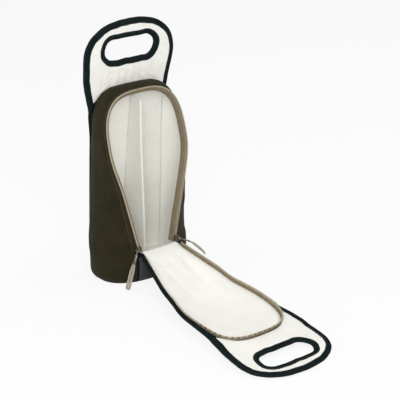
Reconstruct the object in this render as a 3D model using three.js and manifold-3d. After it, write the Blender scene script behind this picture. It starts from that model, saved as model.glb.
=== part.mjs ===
// Insulated bag for two standing bottles, with its zipped front flap folded down to the ground.
// Millimetres, +Z up, +Y to the back. The origin is the middle of the base, on the ground.
import * as THREE from 'three';
import { mergeVertices } from 'three/addons/utils/BufferGeometryUtils.js';
import Module from 'manifold-3d';

const wasm = await Module();
wasm.setup();

// Layers of the cloth wall and the clearance between neighbours
const OUTER_CLOTH = 1.2;
const FOAM = 4;
const LINING = 0.8;
const GAP = 0.3;
const SEAM_GAP = 0.6;

// Base and wall
const BASE_WIDTH = 186;
const BASE_DEPTH = 121;
const OVAL_POWER = 2.3;
const BASE_BOARD = 2.5;
const BASE_INSET_SHARE = 0.072;
const WALL_OVERHANG = 0.44;
const WALL_BULGE_SHOULDER = 12;
const WALL_BULGE_ROOF = 4;
const WALL_FRONT_FULLNESS = 1.2;
const WALL_BACK_FULLNESS = 0.83;
const WALL_CURVE_SHARE = 0.25;
const WALL_MIDDLE_PULL = 3 / 8;
const STRIP_HALF_WIDTH = 40.5;
const STRIP_PADDING_INSET = 5;
const WALL_FRONT_SETBACK = 3;
const WALL_NOTCH_SETBACK = 7;
const WALL_NOTCH_DROP = 8;

// Back panel and its grip
const BACK_TOP_Y = 30;
const BACK_LEAN_POWER = 0.8;
const BACK_BULGE = 18;
const BACK_SIDE_INSET = 20;
const BACK_SEAM_ALLOWANCE = 3;
const BACK_PADDING_CLEARANCE = 9;
const BACK_PADDING_TOP = 295;
const GRIP_START = 300;
const GRIP_WIDEST = 378;
const GRIP_TOP = 440;
const GRIP_HALF_WIDTH = 88;
const GRIP_CORNER_POWER = 2.3;
const GRIP_FLARE = 1.2;
const GRIP_CORE = 3;
const GRIP_FACE_FOOT = 332;
const GRIP_FACE_DROP = 18;
const GRIP_FACE_POWER = 4;
const GRIP_BINDING_START = 320;
const ROOF_SEAM_HEIGHT = 326;
const ROOF_SEAM_POWER = 4.5;

// Hand holes, the same in both grips
const HOLE_WIDTH = 104;
const HOLE_HEIGHT = 40;
const HOLE_HEIGHT_ON_BACK = 392;
const HOLE_PLACE_ON_FLAP = 334;

// Bound edges
const BINDING = 0.8;
const BINDING_EDGE = 1.2;
const BINDING_REACH = 8.5;
const HOLE_BINDING_REACH = 7;
const SEAM_BINDING_FRONT = 1.5;
const SEAM_BINDING_BACK = 2;
const RIM_BINDING_RISE = 0.3;

// Flap and the fold that it turns on
const HINGE_HEIGHT = 61.5;
const HINGE_TAPE_RADIUS = 1.4;
const HINGE_TAPE_INSET = 2;
const CLOSED_LEAN = THREE.MathUtils.degToRad(11.5);
const FLAP_LENGTH = 380;
const FLAP_TIP_CLEARANCE = 0.6;
const FLAP_BOW = 11.5;
const FLAP_BOW_TURN = 140;
const FLAP_BOW_AT_GRIP = 7;
const FLAP_GRIP_START = 234;
const FLAP_GRIP_WIDEST = 318;
const FLAP_GRIP_HALF_WIDTH = 85;

// Zip: an inverted U of two straight legs, two shoulders and a dome
const ZIP_FOOT_HALF_WIDTH = 38;
const ZIP_LEG_HALF_WIDTH = 62;
const ZIP_LEG_LENGTH = 100;
const ZIP_HALF_WIDTH = 79;
const ZIP_SHOULDER = 180;
const ZIP_LENGTH = 274;
const ZIP_DOME_POWER = 3;
const ZIP_TAPE = 0.8;
const ZIP_TAPE_RISE = 1.9;
const ZIP_TAPE_WIDTH = 4.7;
const ZIP_TOOTH_LENGTH = 1.8;
const ZIP_TOOTH_WIDTH = 2.2;
const ZIP_SET_IN = 0.7;
const ZIP_WEDGE_ROOM = 2.4;
const ZIP_START_ON_FLAP = 14;
const ZIP_START_ON_BODY = 1;

// Zip sliders and their pulls
const SLIDER_PLACE = 5;
const SLIDER_LENGTH = 11;
const SLIDER_PLATE = 1.2;
const SLIDER_PLATE_OVERLAP = 0.9;
const SLIDER_CLEARANCE = 0.4;
const SLIDER_WEDGE_LENGTH = 5;
const PULL_EAR = 1.2;
const PULL_EAR_LENGTH = 3.6;
const PULL_PIN_STAND = 2.8;
const PULL_PIN_RADIUS = 0.8;
const PULL_PIN_FORWARD = 1.7;
const PULL_EYE_WALL = 0.9;
const PULL_TAB_LENGTH = 20;
const PULL_TAB_WIDTH = 6;
const PULL_TAB_THICKNESS = 1.2;
const PULL_NECK_WIDTH = 3;
const PULL_TAPE_LENGTH = 42;
const PULL_TAPE_WIDTH = 7.5;
const PULL_TAPE_THICKNESS = 1.4;
const LEFT_PULL_ANGLE = THREE.MathUtils.degToRad(36);
const RIGHT_PULL_ANGLE = THREE.MathUtils.degToRad(75);

// Divider between the bottles
const DIVIDER = 4;
const DIVIDER_TOP = 312;
const DIVIDER_FRONT_AT_FOOT = -19;
const DIVIDER_FRONT_AT_TOP = -5;

// Facet counts
const LOW_STEPS = 3;
const LEG_STEPS = 2;
const SHOULDER_STEPS = 4;
const DOME_STEPS = 7;
const WALL_COLUMNS = 6;
const PANEL_COLUMNS = 6;
const BACK_COLUMNS = 10;
const PANEL_ROWS = 9;
const GRIP_SIDE_STEPS = 3;
const GRIP_CORNER_STEPS = 8;
const HOLE_END_STEPS = 8;
const OVAL_STEPS = 40;
const ROUND_STEPS = 14;
const TINY = 1e-6;

// Sizes that follow from the driving ones
const WALL = OUTER_CLOTH + GAP + FOAM + GAP + LINING;
const HINGE_Y = -BASE_DEPTH / 2;
const BASE_INSET = BASE_WIDTH * BASE_INSET_SHARE;
const BACK_SEAM_HALF_WIDTH = BASE_WIDTH / 2 - BACK_SIDE_INSET;
const BACK_HALF_WIDTH = BACK_SEAM_HALF_WIDTH + BACK_SEAM_ALLOWANCE;
const WALL_FOOT_HALF_WIDTH = (STRIP_HALF_WIDTH + GAP + BACK_SEAM_HALF_WIDTH) / 2;
const WALL_BULGE_LOW = (BASE_WIDTH / 2 + WALL_OVERHANG - WALL_FOOT_HALF_WIDTH)
  / (WALL_MIDDLE_PULL * (WALL_FRONT_FULLNESS + WALL_BACK_FULLNESS));
const GRIP_STACK = GAP + GRIP_CORE + GAP + LINING;
const FLAP_LOWEST = WALL + GAP + BINDING;
const OPEN_PITCH = Math.asin((HINGE_HEIGHT - FLAP_LOWEST - FLAP_TIP_CLEARANCE) / FLAP_LENGTH);
const FLAP_FOOT = HINGE_TAPE_RADIUS + GAP;
const FLAP_TEETH_LOW = ZIP_TAPE_RISE + GAP;
const FLAP_TEETH_HIGH = FLAP_TEETH_LOW + ZIP_TOOTH_LENGTH;
const BODY_TEETH_LOW = FLAP_TEETH_HIGH + ZIP_WEDGE_ROOM;
const BODY_TEETH_HIGH = BODY_TEETH_LOW + ZIP_TOOTH_LENGTH;
const BODY_TAPE_LOW = BODY_TEETH_HIGH + GAP;
const BODY_TAPE_HIGH = BODY_TAPE_LOW + ZIP_TAPE_WIDTH;
const WALL_FRONT_EDGE = BODY_TAPE_HIGH + GAP;
const BASE_STACK = OUTER_CLOTH + GAP + BASE_BOARD + GAP + FOAM + GAP + LINING;

// Finishes
const oliveCloth = { color: 0x2f2c20, roughness: 0.85, metalness: 0 };
const charcoalCloth = { color: 0x3c3c3c, roughness: 0.85, metalness: 0 };
const whiteLining = { color: 0xf2f1ea, roughness: 0.6, metalness: 0 };
const greyFoam = { color: 0xbfc4c8, roughness: 0.9, metalness: 0 };
const blackBinding = { color: 0x1a2323, roughness: 0.8, metalness: 0 };
const tanTape = { color: 0x99866e, roughness: 0.8, metalness: 0 };
const tanTeeth = { color: 0xa89a80, roughness: 0.5, metalness: 0 };
const paleDivider = { color: 0xe7f0f2, roughness: 0.6, metalness: 0 };
const boardBrown = { color: 0x6a5a44, roughness: 0.9, metalness: 0 };
const sliderMetal = { color: 0x8c8778, roughness: 0.35, metalness: 1 };

const bag = new THREE.Group();

function add(name, geometry, finish) {
  const mesh = new THREE.Mesh(geometry, new THREE.MeshStandardMaterial(finish));
  mesh.name = name;
  bag.add(mesh);
}

// Solids from rings, sheets and outlines

function signedVolume(points, faces) {
  let total = 0;
  for (const [a, b, c] of faces) {
    total += points[a].dot(new THREE.Vector3().crossVectors(points[b], points[c]));
  }
  return total / 6;
}

function solid(points, faces) {
  const inside = signedVolume(points, faces) < 0;
  const index = faces.flatMap(([a, b, c]) => (inside ? [a, c, b] : [a, b, c]));
  const geometry = new THREE.BufferGeometry();
  const flat = points.flatMap((point) => [point.x, point.y, point.z]);
  geometry.setAttribute('position', new THREE.Float32BufferAttribute(flat, 3));
  geometry.setIndex(index);
  return geometry;
}

function ringFaces(first, second, count) {
  const faces = [];
  for (let i = 0; i < count; i += 1) {
    const j = (i + 1) % count;
    faces.push([first + i, first + j, second + j], [first + i, second + j, second + i]);
  }
  return faces;
}

// A section of (across, through) points carried along a path that lies on a panel
function ribbon(place, path, section, closed) {
  const points = [];
  const faces = [];
  const count = section.length;
  path.forEach((spot, i) => {
    const before = path[closed ? (i + path.length - 1) % path.length : Math.max(i - 1, 0)];
    const after = path[closed ? (i + 1) % path.length : Math.min(i + 1, path.length - 1)];
    const along = after.clone().sub(before).normalize();
    for (const [across, through] of section) {
      points.push(place(spot.x + along.y * across, spot.y - along.x * across, through));
    }
    if (i > 0) faces.push(...ringFaces((i - 1) * count, i * count, count));
  });
  const last = (path.length - 1) * count;
  if (closed) {
    faces.push(...ringFaces(last, 0, count));
  } else {
    const cap = capFaces(section.map(([across, through]) => new THREE.Vector2(across, through)));
    faces.push(...cap.map(([a, b, c]) => [a, c, b]));
    faces.push(...cap.map((face) => face.map((corner) => corner + last)));
  }
  return solid(points, faces);
}

// Triangles that fill an outline and run the same way round as it does
function capFaces(outline) {
  const whole = THREE.ShapeUtils.area(outline);
  return THREE.ShapeUtils.triangulateShape(outline, []).map(([a, b, c]) => (
    THREE.ShapeUtils.area([outline[a], outline[b], outline[c]]) * whole > 0 ? [a, b, c] : [a, c, b]));
}

// A sheet between two grids of points that share rows and columns
function sheet(near, far) {
  const rows = near.length;
  const columns = near[0].length;
  const points = [...near.flat(), ...far.flat()];
  const shift = rows * columns;
  const at = (row, column) => row * columns + column;
  const faces = [];
  for (let row = 0; row + 1 < rows; row += 1) {
    for (let column = 0; column + 1 < columns; column += 1) {
      const [a, b] = [at(row, column), at(row, column + 1)];
      const [d, c] = [at(row + 1, column), at(row + 1, column + 1)];
      faces.push([a, b, c], [a, c, d], [a + shift, c + shift, b + shift], [a + shift, d + shift, c + shift]);
    }
  }
  const rim = [];
  for (let column = 0; column + 1 < columns; column += 1) rim.push(at(0, column));
  for (let row = 0; row + 1 < rows; row += 1) rim.push(at(row, columns - 1));
  for (let column = columns - 1; column > 0; column -= 1) rim.push(at(rows - 1, column));
  for (let row = rows - 1; row > 0; row -= 1) rim.push(at(row, 0));
  rim.forEach((a, i) => {
    const b = rim[(i + 1) % rim.length];
    faces.push([a, a + shift, b + shift], [a, b + shift, b]);
  });
  return solid(points, faces);
}

// A panel from rows of half widths, between two depths
function panel(place, rows, columns, low, high) {
  const grid = (depth) => rows.map(({ along, half }) => {
    const row = [];
    for (let i = 0; i <= columns; i += 1) row.push(place(half * ((2 * i) / columns - 1), along, depth));
    return row;
  });
  return sheet(grid(low), grid(high));
}

// A flat outline with holes, between two depths
function cutout(place, outline, holes, low, high) {
  const shape = new THREE.Shape(outline);
  shape.holes = holes.map((hole) => new THREE.Path(hole));
  const slab = new THREE.ExtrudeGeometry(shape, { depth: high - low, bevelEnabled: false });
  slab.deleteAttribute('normal');
  slab.deleteAttribute('uv');
  const merged = mergeVertices(slab);
  const position = merged.getAttribute('position');
  const points = [];
  for (let i = 0; i < position.count; i += 1) {
    points.push(place(position.getX(i), position.getY(i), low + position.getZ(i)));
  }
  const index = merged.getIndex().array;
  const faces = [];
  for (let i = 0; i < index.length; i += 3) faces.push([index[i], index[i + 1], index[i + 2]]);
  return solid(points, faces);
}

function toManifold(geometry) {
  const plain = geometry.clone();
  plain.deleteAttribute('normal');
  plain.deleteAttribute('uv');
  const merged = mergeVertices(plain);
  return new wasm.Manifold(new wasm.Mesh({
    numProp: 3,
    vertProperties: new Float32Array(merged.getAttribute('position').array),
    triVerts: new Uint32Array(merged.getIndex().array),
  }));
}

function fromManifold(body) {
  const { vertProperties, triVerts } = body.getMesh();
  const geometry = new THREE.BufferGeometry();
  geometry.setAttribute('position', new THREE.Float32BufferAttribute(vertProperties, 3));
  geometry.setIndex([...triVerts]);
  return geometry;
}

// Outlines

function superellipse(halfWidth, height, power, angle) {
  return new THREE.Vector2(
    halfWidth * Math.max(Math.cos(angle), 0) ** (2 / power),
    height * Math.max(Math.sin(angle), 0) ** (2 / power),
  );
}

function steps(count, make) {
  return Array.from({ length: count + 1 }, (_, i) => make(i / count));
}

function mirrored(half) {
  const other = half.slice().reverse().map((spot) => new THREE.Vector2(-spot.x, spot.y));
  return [...half, ...other.filter((spot) => spot.x < -TINY)];
}

function between(a, b, share) {
  return a + (b - a) * share;
}

function ovalOutline(inset) {
  const outline = [];
  for (let i = 0; i < OVAL_STEPS; i += 1) {
    const angle = (2 * Math.PI * i) / OVAL_STEPS;
    const corner = superellipse(BASE_WIDTH / 2 - inset, BASE_DEPTH / 2 - inset, OVAL_POWER,
      Math.acos(Math.abs(Math.cos(angle))));
    const side = new THREE.Vector2(Math.sign(Math.cos(angle)), Math.sign(Math.sin(angle)));
    outline.push(corner.multiply(side));
  }
  return outline;
}

function ovalFront(x) {
  const share = 1 - (Math.abs(x) / (BASE_WIDTH / 2)) ** OVAL_POWER;
  return (-BASE_DEPTH / 2) * share ** (1 / OVAL_POWER);
}

// One side of the zip, from the hinge to the middle of the dome: place on the panel and dome angle
function zipHalf() {
  const foot = new THREE.Vector2(ZIP_FOOT_HALF_WIDTH, 0);
  const legTop = new THREE.Vector2(ZIP_LEG_HALF_WIDTH, ZIP_LEG_LENGTH);
  const shoulder = new THREE.Vector2(ZIP_HALF_WIDTH, ZIP_SHOULDER);
  const rise = (ZIP_SHOULDER - ZIP_LEG_LENGTH) / 3;
  const lean = (ZIP_LEG_HALF_WIDTH - ZIP_FOOT_HALF_WIDTH) / ZIP_LEG_LENGTH;
  const curve = new THREE.CubicBezierCurve(legTop, new THREE.Vector2(legTop.x + lean * rise, legTop.y + rise),
    new THREE.Vector2(shoulder.x, shoulder.y - rise), shoulder);
  const leg = steps(LEG_STEPS, (t) => ({ spot: foot.clone().lerp(legTop, t), angle: 0 }));
  const bend = steps(SHOULDER_STEPS, (t) => ({ spot: curve.getPoint(t), angle: 0 }));
  const dome = steps(DOME_STEPS, (t) => {
    const angle = (t * Math.PI) / 2;
    const spot = superellipse(ZIP_HALF_WIDTH, ZIP_LENGTH - ZIP_SHOULDER, ZIP_DOME_POWER, angle);
    spot.y += ZIP_SHOULDER;
    return { spot, angle };
  });
  return [...leg, ...bend.slice(1), ...dome.slice(1)];
}

function zipPath(start) {
  const half = zipHalf().map(({ spot }) => spot);
  const share = start / ZIP_LEG_LENGTH;
  half[0] = new THREE.Vector2(between(ZIP_FOOT_HALF_WIDTH, ZIP_LEG_HALF_WIDTH, share), start);
  return mirrored(half);
}

// One side of a grip from its foot to the middle of its top
function gripHalf(footHalfWidth, foot, halfWidth, widest, top) {
  const start = new THREE.Vector2(footHalfWidth, foot);
  const end = new THREE.Vector2(halfWidth, widest);
  const third = (widest - foot) / 3;
  const lean = (halfWidth - footHalfWidth) / (widest - foot);
  const flare = new THREE.Vector2(start.x + lean * third * GRIP_FLARE, foot + third);
  const side = new THREE.CubicBezierCurve(start, flare,
    new THREE.Vector2(end.x, widest - third), end);
  const corner = steps(GRIP_CORNER_STEPS, (t) => {
    const spot = superellipse(halfWidth, top - widest, GRIP_CORNER_POWER, (t * Math.PI) / 2);
    spot.y += widest;
    return spot;
  });
  return [...steps(GRIP_SIDE_STEPS, (t) => side.getPoint(t)), ...corner.slice(1)];
}

// Where a half outline, going up, crosses a height: the point there and the index of the next point
function crossing(half, height) {
  const next = half.findIndex((spot) => spot.y > height + TINY);
  const [low, high] = [half[next - 1], half[next]];
  return { cut: low.clone().lerp(high, (height - low.y) / (high.y - low.y)), next };
}

function above(half, height) {
  const { cut, next } = crossing(half, height);
  return [cut, ...half.slice(next)];
}

function below(half, height) {
  const { cut, next } = crossing(half, height);
  return [...half.slice(0, next), cut];
}

function halfWidthAt(half, height) {
  return crossing(half, height).cut.x;
}

function shrunk(half, inset) {
  return half.map((spot, i) => {
    const before = half[Math.max(i - 1, 0)];
    const after = half[Math.min(i + 1, half.length - 1)];
    const along = after.clone().sub(before).normalize();
    const x = i === half.length - 1 ? 0 : spot.x - along.y * inset;
    return new THREE.Vector2(x, i === half.length - 1 ? spot.y - inset : spot.y + along.x * inset);
  });
}

// The hole runs clockwise, so that across is counted into the hole
function handHole(middle) {
  const radius = HOLE_HEIGHT / 2;
  const reach = HOLE_WIDTH / 2 - radius;
  const end = (side) => steps(HOLE_END_STEPS, (t) => {
    const angle = (side * Math.PI) / 2 - Math.PI * t;
    return new THREE.Vector2(side * reach + radius * Math.cos(angle), middle + radius * Math.sin(angle));
  });
  return [...end(1), ...end(-1)];
}

// A channel that clasps an edge: low and high are the faces of the stack inside it
function clasp(reach, low, high) {
  return [
    [-reach, low - GAP], [GAP, low - GAP], [GAP, high + GAP], [-reach, high + GAP],
    [-reach, high + GAP + BINDING], [GAP + BINDING_EDGE, high + GAP + BINDING],
    [GAP + BINDING_EDGE, low - GAP - BINDING], [-reach, low - GAP - BINDING],
  ];
}

function bar(nearAcross, farAcross, low, high) {
  return [[nearAcross, low], [farAcross, low], [farAcross, high], [nearAcross, high]];
}

// Panel surfaces: the back panel and the front panel, open or closed

function backY(x, z) {
  const left = Math.max(1 - z / GRIP_START, 0);
  const middle = between(BACK_TOP_Y, BASE_DEPTH / 2 - OUTER_CLOTH, left ** BACK_LEAN_POWER);
  return middle - BACK_BULGE * left * (x / BACK_SEAM_HALF_WIDTH) ** 2;
}

const onBack = (x, z, depth) => new THREE.Vector3(x, backY(x, z) + depth, z);

// The front panel stands out in front of its flat plane: straight along the legs and over the grip,
// and in a curve between them
function bow(along) {
  const legSlope = FLAP_BOW / ZIP_LEG_LENGTH;
  if (along < ZIP_LEG_LENGTH) return -legSlope * along;
  const gripSlope = FLAP_BOW_AT_GRIP / (FLAP_LENGTH - FLAP_GRIP_START);
  if (along > FLAP_GRIP_START) return gripSlope * (along - FLAP_LENGTH);
  const turn = FLAP_BOW_TURN - ZIP_LEG_LENGTH;
  const most = FLAP_BOW + (legSlope * turn) / 2;
  if (along < FLAP_BOW_TURN) {
    const share = (along - ZIP_LEG_LENGTH) / turn;
    return -FLAP_BOW - legSlope * turn * (share - share ** 2 / 2);
  }
  const run = FLAP_GRIP_START - FLAP_BOW_TURN;
  const share = (along - FLAP_BOW_TURN) / run;
  const ease = share ** 2 * (3 - 2 * share);
  return between(-most, -FLAP_BOW_AT_GRIP, ease) + gripSlope * run * share ** 2 * (share - 1);
}

function frontPanel(direction, inward) {
  return (x, along, depth) => new THREE.Vector3(x, HINGE_Y, HINGE_HEIGHT)
    .addScaledVector(direction, along)
    .addScaledVector(inward, depth + bow(along));
}

const openAlong = new THREE.Vector3(0, -Math.cos(OPEN_PITCH), -Math.sin(OPEN_PITCH));
const openInward = new THREE.Vector3(0, -Math.sin(OPEN_PITCH), Math.cos(OPEN_PITCH));
const closedAlong = new THREE.Vector3(0, Math.sin(CLOSED_LEAN), Math.cos(CLOSED_LEAN));
const closedInward = new THREE.Vector3(0, Math.cos(CLOSED_LEAN), -Math.sin(CLOSED_LEAN));
const onOpenFlap = frontPanel(openAlong, openInward);
const onClosedFront = frontPanel(closedAlong, closedInward);

// Base

function base() {
  const flat = (x, y, z) => new THREE.Vector3(x, y, z);
  let floor = 0;
  const layers = [
    ['base_outer', OUTER_CLOTH, 0, oliveCloth],
    ['base_board', BASE_BOARD, BASE_INSET, boardBrown],
    ['base_foam', FOAM, BASE_INSET, greyFoam],
    ['base_lining', LINING, BASE_INSET, whiteLining],
  ];
  for (const [name, thickness, inset, finish] of layers) {
    add(name, cutout(flat, ovalOutline(inset), [], floor, floor + thickness), finish);
    floor += thickness + GAP;
  }
}

// Side and roof wall: stations from the base, up beside the zip and over the roof

function wallStation(front, back, angle, bulge) {
  const chord = back.clone().sub(front);
  const outward = new THREE.Vector3(Math.cos(angle), 0, Math.sin(angle));
  const first = front.clone().addScaledVector(chord, WALL_CURVE_SHARE)
    .addScaledVector(outward, bulge * WALL_FRONT_FULLNESS);
  const second = back.clone().addScaledVector(chord, -WALL_CURVE_SHARE)
    .addScaledVector(outward, bulge * WALL_BACK_FULLNESS);
  return new THREE.CubicBezierCurve3(front, first, second, back);
}

function wallBulge(along) {
  if (along < ZIP_SHOULDER) return between(WALL_BULGE_LOW, WALL_BULGE_SHOULDER, along / ZIP_SHOULDER);
  const share = (along - ZIP_SHOULDER) / (ZIP_LENGTH - ZIP_SHOULDER);
  return between(WALL_BULGE_SHOULDER, WALL_BULGE_ROOF, share);
}

function backSeam(x, z) {
  return onBack(x, z, -SEAM_GAP);
}

function wallHalf() {
  const foot = OUTER_CLOTH + GAP;
  const edge = STRIP_HALF_WIDTH + GAP;
  const notch = HINGE_HEIGHT - WALL_NOTCH_DROP;
  const low = steps(LOW_STEPS, (t) => {
    const z = between(foot, notch, t);
    const setback = between(WALL_FRONT_SETBACK, WALL_NOTCH_SETBACK, t);
    const front = new THREE.Vector3(edge, ovalFront(edge) + setback, z);
    return wallStation(front, backSeam(BACK_SEAM_HALF_WIDTH, z), 0, WALL_BULGE_LOW);
  });
  const shoulderZ = onClosedFront(0, ZIP_SHOULDER, 0).z;
  const high = zipHalf().map(({ spot, angle }) => {
    const front = onClosedFront(spot.x - ZIP_SET_IN * Math.cos(angle), spot.y - ZIP_SET_IN * Math.sin(angle),
      WALL_FRONT_EDGE);
    const arch = superellipse(BACK_SEAM_HALF_WIDTH, ROOF_SEAM_HEIGHT - shoulderZ, ROOF_SEAM_POWER, angle);
    const seamZ = angle > 0 ? shoulderZ + arch.y : front.z;
    return wallStation(front, backSeam(arch.x, seamZ), angle, wallBulge(spot.y));
  });
  return [...low, ...high];
}

function wallGrid() {
  const right = wallHalf().map((curve) => steps(WALL_COLUMNS, (t) => curve.getPoint(t)));
  const left = right.slice(0, -1).reverse()
    .map((row) => row.map((point) => new THREE.Vector3(-point.x, point.y, point.z)));
  right[right.length - 1].forEach((point) => point.setX(0));
  return [...right, ...left];
}

function gridNormals(grid) {
  const clamp = (value, last) => Math.min(Math.max(value, 0), last);
  return grid.map((row, i) => row.map((_, j) => {
    const up = grid[clamp(i + 1, grid.length - 1)][j].clone().sub(grid[clamp(i - 1, grid.length - 1)][j]);
    const across = row[clamp(j + 1, row.length - 1)].clone().sub(row[clamp(j - 1, row.length - 1)]);
    const normal = across.cross(up);
    if (i === 0 || i === grid.length - 1) normal.setZ(0);
    return normal.normalize();
  }));
}

function wall() {
  const grid = wallGrid();
  const normals = gridNormals(grid);
  const inside = (depth) => grid.map((row, i) => row.map((point, j) => (
    point.clone().addScaledVector(normals[i][j], -depth))));
  const layers = [
    ['wall_outer', OUTER_CLOTH, oliveCloth],
    ['wall_foam', FOAM, greyFoam],
    ['wall_lining', LINING, whiteLining],
  ];
  let depth = 0;
  for (const [name, thickness, finish] of layers) {
    add(name, sheet(inside(depth), inside(depth + thickness)), finish);
    depth += thickness + GAP;
  }
}

// Front strip between the base and the hinge

function frontStrip() {
  const top = HINGE_HEIGHT - HINGE_TAPE_RADIUS - GAP;
  const layers = [
    ['front_strip_outer', OUTER_CLOTH, STRIP_HALF_WIDTH, OUTER_CLOTH + GAP, charcoalCloth],
    ['front_strip_foam', FOAM, STRIP_HALF_WIDTH - STRIP_PADDING_INSET, OUTER_CLOTH + GAP, greyFoam],
    ['front_strip_lining', LINING, STRIP_HALF_WIDTH - STRIP_PADDING_INSET, OUTER_CLOTH + GAP, whiteLining],
  ];
  const onFront = (x, z, depth) => new THREE.Vector3(x, ovalFront(x) + depth, z);
  let depth = 0;
  for (const [name, thickness, half, foot, finish] of layers) {
    const rows = [foot, top].map((along) => ({ along, half }));
    add(name, panel(onFront, rows, PANEL_COLUMNS, depth, depth + thickness), finish);
    depth += thickness + GAP;
  }
}

function hingeTape() {
  const length = 2 * (ZIP_FOOT_HALF_WIDTH - HINGE_TAPE_INSET);
  const rod = new THREE.CylinderGeometry(HINGE_TAPE_RADIUS, HINGE_TAPE_RADIUS, length, ROUND_STEPS);
  rod.rotateZ(Math.PI / 2);
  rod.translate(0, HINGE_Y, HINGE_HEIGHT);
  add('hinge_tape', fromManifold(toManifold(rod)), charcoalCloth);
}

// Back panel, its seams and its grip

function backPanel() {
  const rows = (foot, top, half) => steps(PANEL_ROWS, (t) => ({ along: between(foot, top, t), half }));
  const foot = OUTER_CLOTH + GAP;
  const inner = BACK_SEAM_HALF_WIDTH - WALL - BACK_PADDING_CLEARANCE;
  const foamLow = -SEAM_GAP - FOAM;
  add('back_panel_outer', panel(onBack, rows(foot, GRIP_START - GAP, BACK_HALF_WIDTH), BACK_COLUMNS,
    0, OUTER_CLOTH), oliveCloth);
  add('back_panel_foam', panel(onBack, rows(BASE_STACK + GAP, BACK_PADDING_TOP, inner), BACK_COLUMNS,
    foamLow, -SEAM_GAP), greyFoam);
  const liningHigh = foamLow - GAP;
  add('back_panel_lining', panel(onBack, rows(BASE_STACK + GAP, BACK_PADDING_TOP, inner), BACK_COLUMNS,
    liningHigh - LINING, liningHigh), whiteLining);
}

function backEdge() {
  const foot = new THREE.Vector2(BACK_HALF_WIDTH, OUTER_CLOTH + GAP);
  return [foot, ...gripHalf(BACK_HALF_WIDTH, GRIP_START, GRIP_HALF_WIDTH, GRIP_WIDEST, GRIP_TOP)];
}

function backGrip() {
  const edge = backEdge();
  const hole = handHole(HOLE_HEIGHT_ON_BACK);
  const whole = mirrored(above(edge, GRIP_START));
  add('back_grip_outer', cutout(onBack, whole, [hole], 0, OUTER_CLOTH), oliveCloth);
  const sides = above(edge, GRIP_FACE_FOOT - GRIP_FACE_DROP);
  const reach = sides[0].x;
  const foot = steps(GRIP_CORNER_STEPS, (t) => {
    const x = between(-reach, reach, t);
    return new THREE.Vector2(x, GRIP_FACE_FOOT - GRIP_FACE_DROP * (x / reach) ** GRIP_FACE_POWER);
  });
  const face = [...mirrored(sides), ...foot.slice(1, -1)];
  add('back_grip_core', cutout(onBack, face, [hole], -GAP - GRIP_CORE, -GAP), greyFoam);
  const low = -GRIP_STACK;
  add('back_grip_facing', cutout(onBack, face, [hole], low, low + LINING), whiteLining);
  const rim = mirrored(above(edge, GRIP_BINDING_START));
  const edgeClasp = clasp(BINDING_REACH, low, OUTER_CLOTH);
  const holeClasp = clasp(HOLE_BINDING_REACH, low, OUTER_CLOTH);
  add('back_grip_binding', ribbon(onBack, rim, edgeClasp, false), blackBinding);
  add('back_hole_binding', ribbon(onBack, hole, holeClasp, true), blackBinding);
  const seam = below(backEdgeSteps(), GRIP_BINDING_START - GAP);
  const section = bar(GAP, GAP + BINDING_EDGE, -SEAM_BINDING_FRONT, SEAM_BINDING_BACK);
  const left = (x, z, depth) => onBack(-x, z, depth);
  add('right_seam_binding', ribbon(onBack, seam, section, false), blackBinding);
  add('left_seam_binding', ribbon(left, seam, section, false), blackBinding);
}

// The back edge with points up its straight side, so that it follows the lean of the panel
function backEdgeSteps() {
  const straight = steps(PANEL_ROWS, (t) => (
    new THREE.Vector2(BACK_HALF_WIDTH, between(OUTER_CLOTH + GAP, GRIP_START, t))));
  return [...straight, ...backEdge().slice(2)];
}

function divider() {
  const foot = BASE_STACK + GAP;
  const backDepth = -SEAM_GAP - FOAM - GAP - LINING - GAP;
  const heights = [...steps(PANEL_ROWS, (t) => between(foot, BACK_PADDING_TOP, t)), DIVIDER_TOP];
  const back = heights.map((z) => new THREE.Vector2(backY(0, z) + backDepth, z));
  const frontTop = new THREE.Vector2(DIVIDER_FRONT_AT_TOP, DIVIDER_TOP);
  const frontFoot = new THREE.Vector2(DIVIDER_FRONT_AT_FOOT, foot);
  const upright = (y, z, x) => new THREE.Vector3(x, y, z);
  add('divider', cutout(upright, [...back, frontTop, frontFoot], [], -DIVIDER / 2, DIVIDER / 2), paleDivider);
}

// Zip on the body

function bodyZip() {
  const path = zipPath(ZIP_START_ON_BODY);
  const half = ZIP_TAPE / 2;
  const tooth = ZIP_TOOTH_WIDTH / 2;
  add('body_zip_tape', ribbon(onClosedFront, path,
    bar(-ZIP_SET_IN - half, -ZIP_SET_IN + half, BODY_TAPE_LOW, BODY_TAPE_HIGH), false), tanTape);
  add('body_zip_teeth', ribbon(onClosedFront, path,
    bar(-ZIP_SET_IN - tooth, -ZIP_SET_IN + tooth, BODY_TEETH_LOW, BODY_TEETH_HIGH), false), tanTeeth);
}

// Flap

function flapEdge() {
  const legAndShoulder = zipHalf().filter(({ angle }) => angle === 0).map(({ spot }) => spot);
  const grip = gripHalf(ZIP_HALF_WIDTH, ZIP_SHOULDER, FLAP_GRIP_HALF_WIDTH, FLAP_GRIP_WIDEST,
    FLAP_LENGTH);
  return [...legAndShoulder, ...grip.slice(1)];
}

function flapRows(half, foot, top) {
  const count = 2 * PANEL_ROWS;
  return steps(count, (t) => {
    const along = between(foot, top, Math.sin((t * Math.PI) / 2));
    return { along, half: halfWidthAt(half, along) };
  });
}

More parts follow.
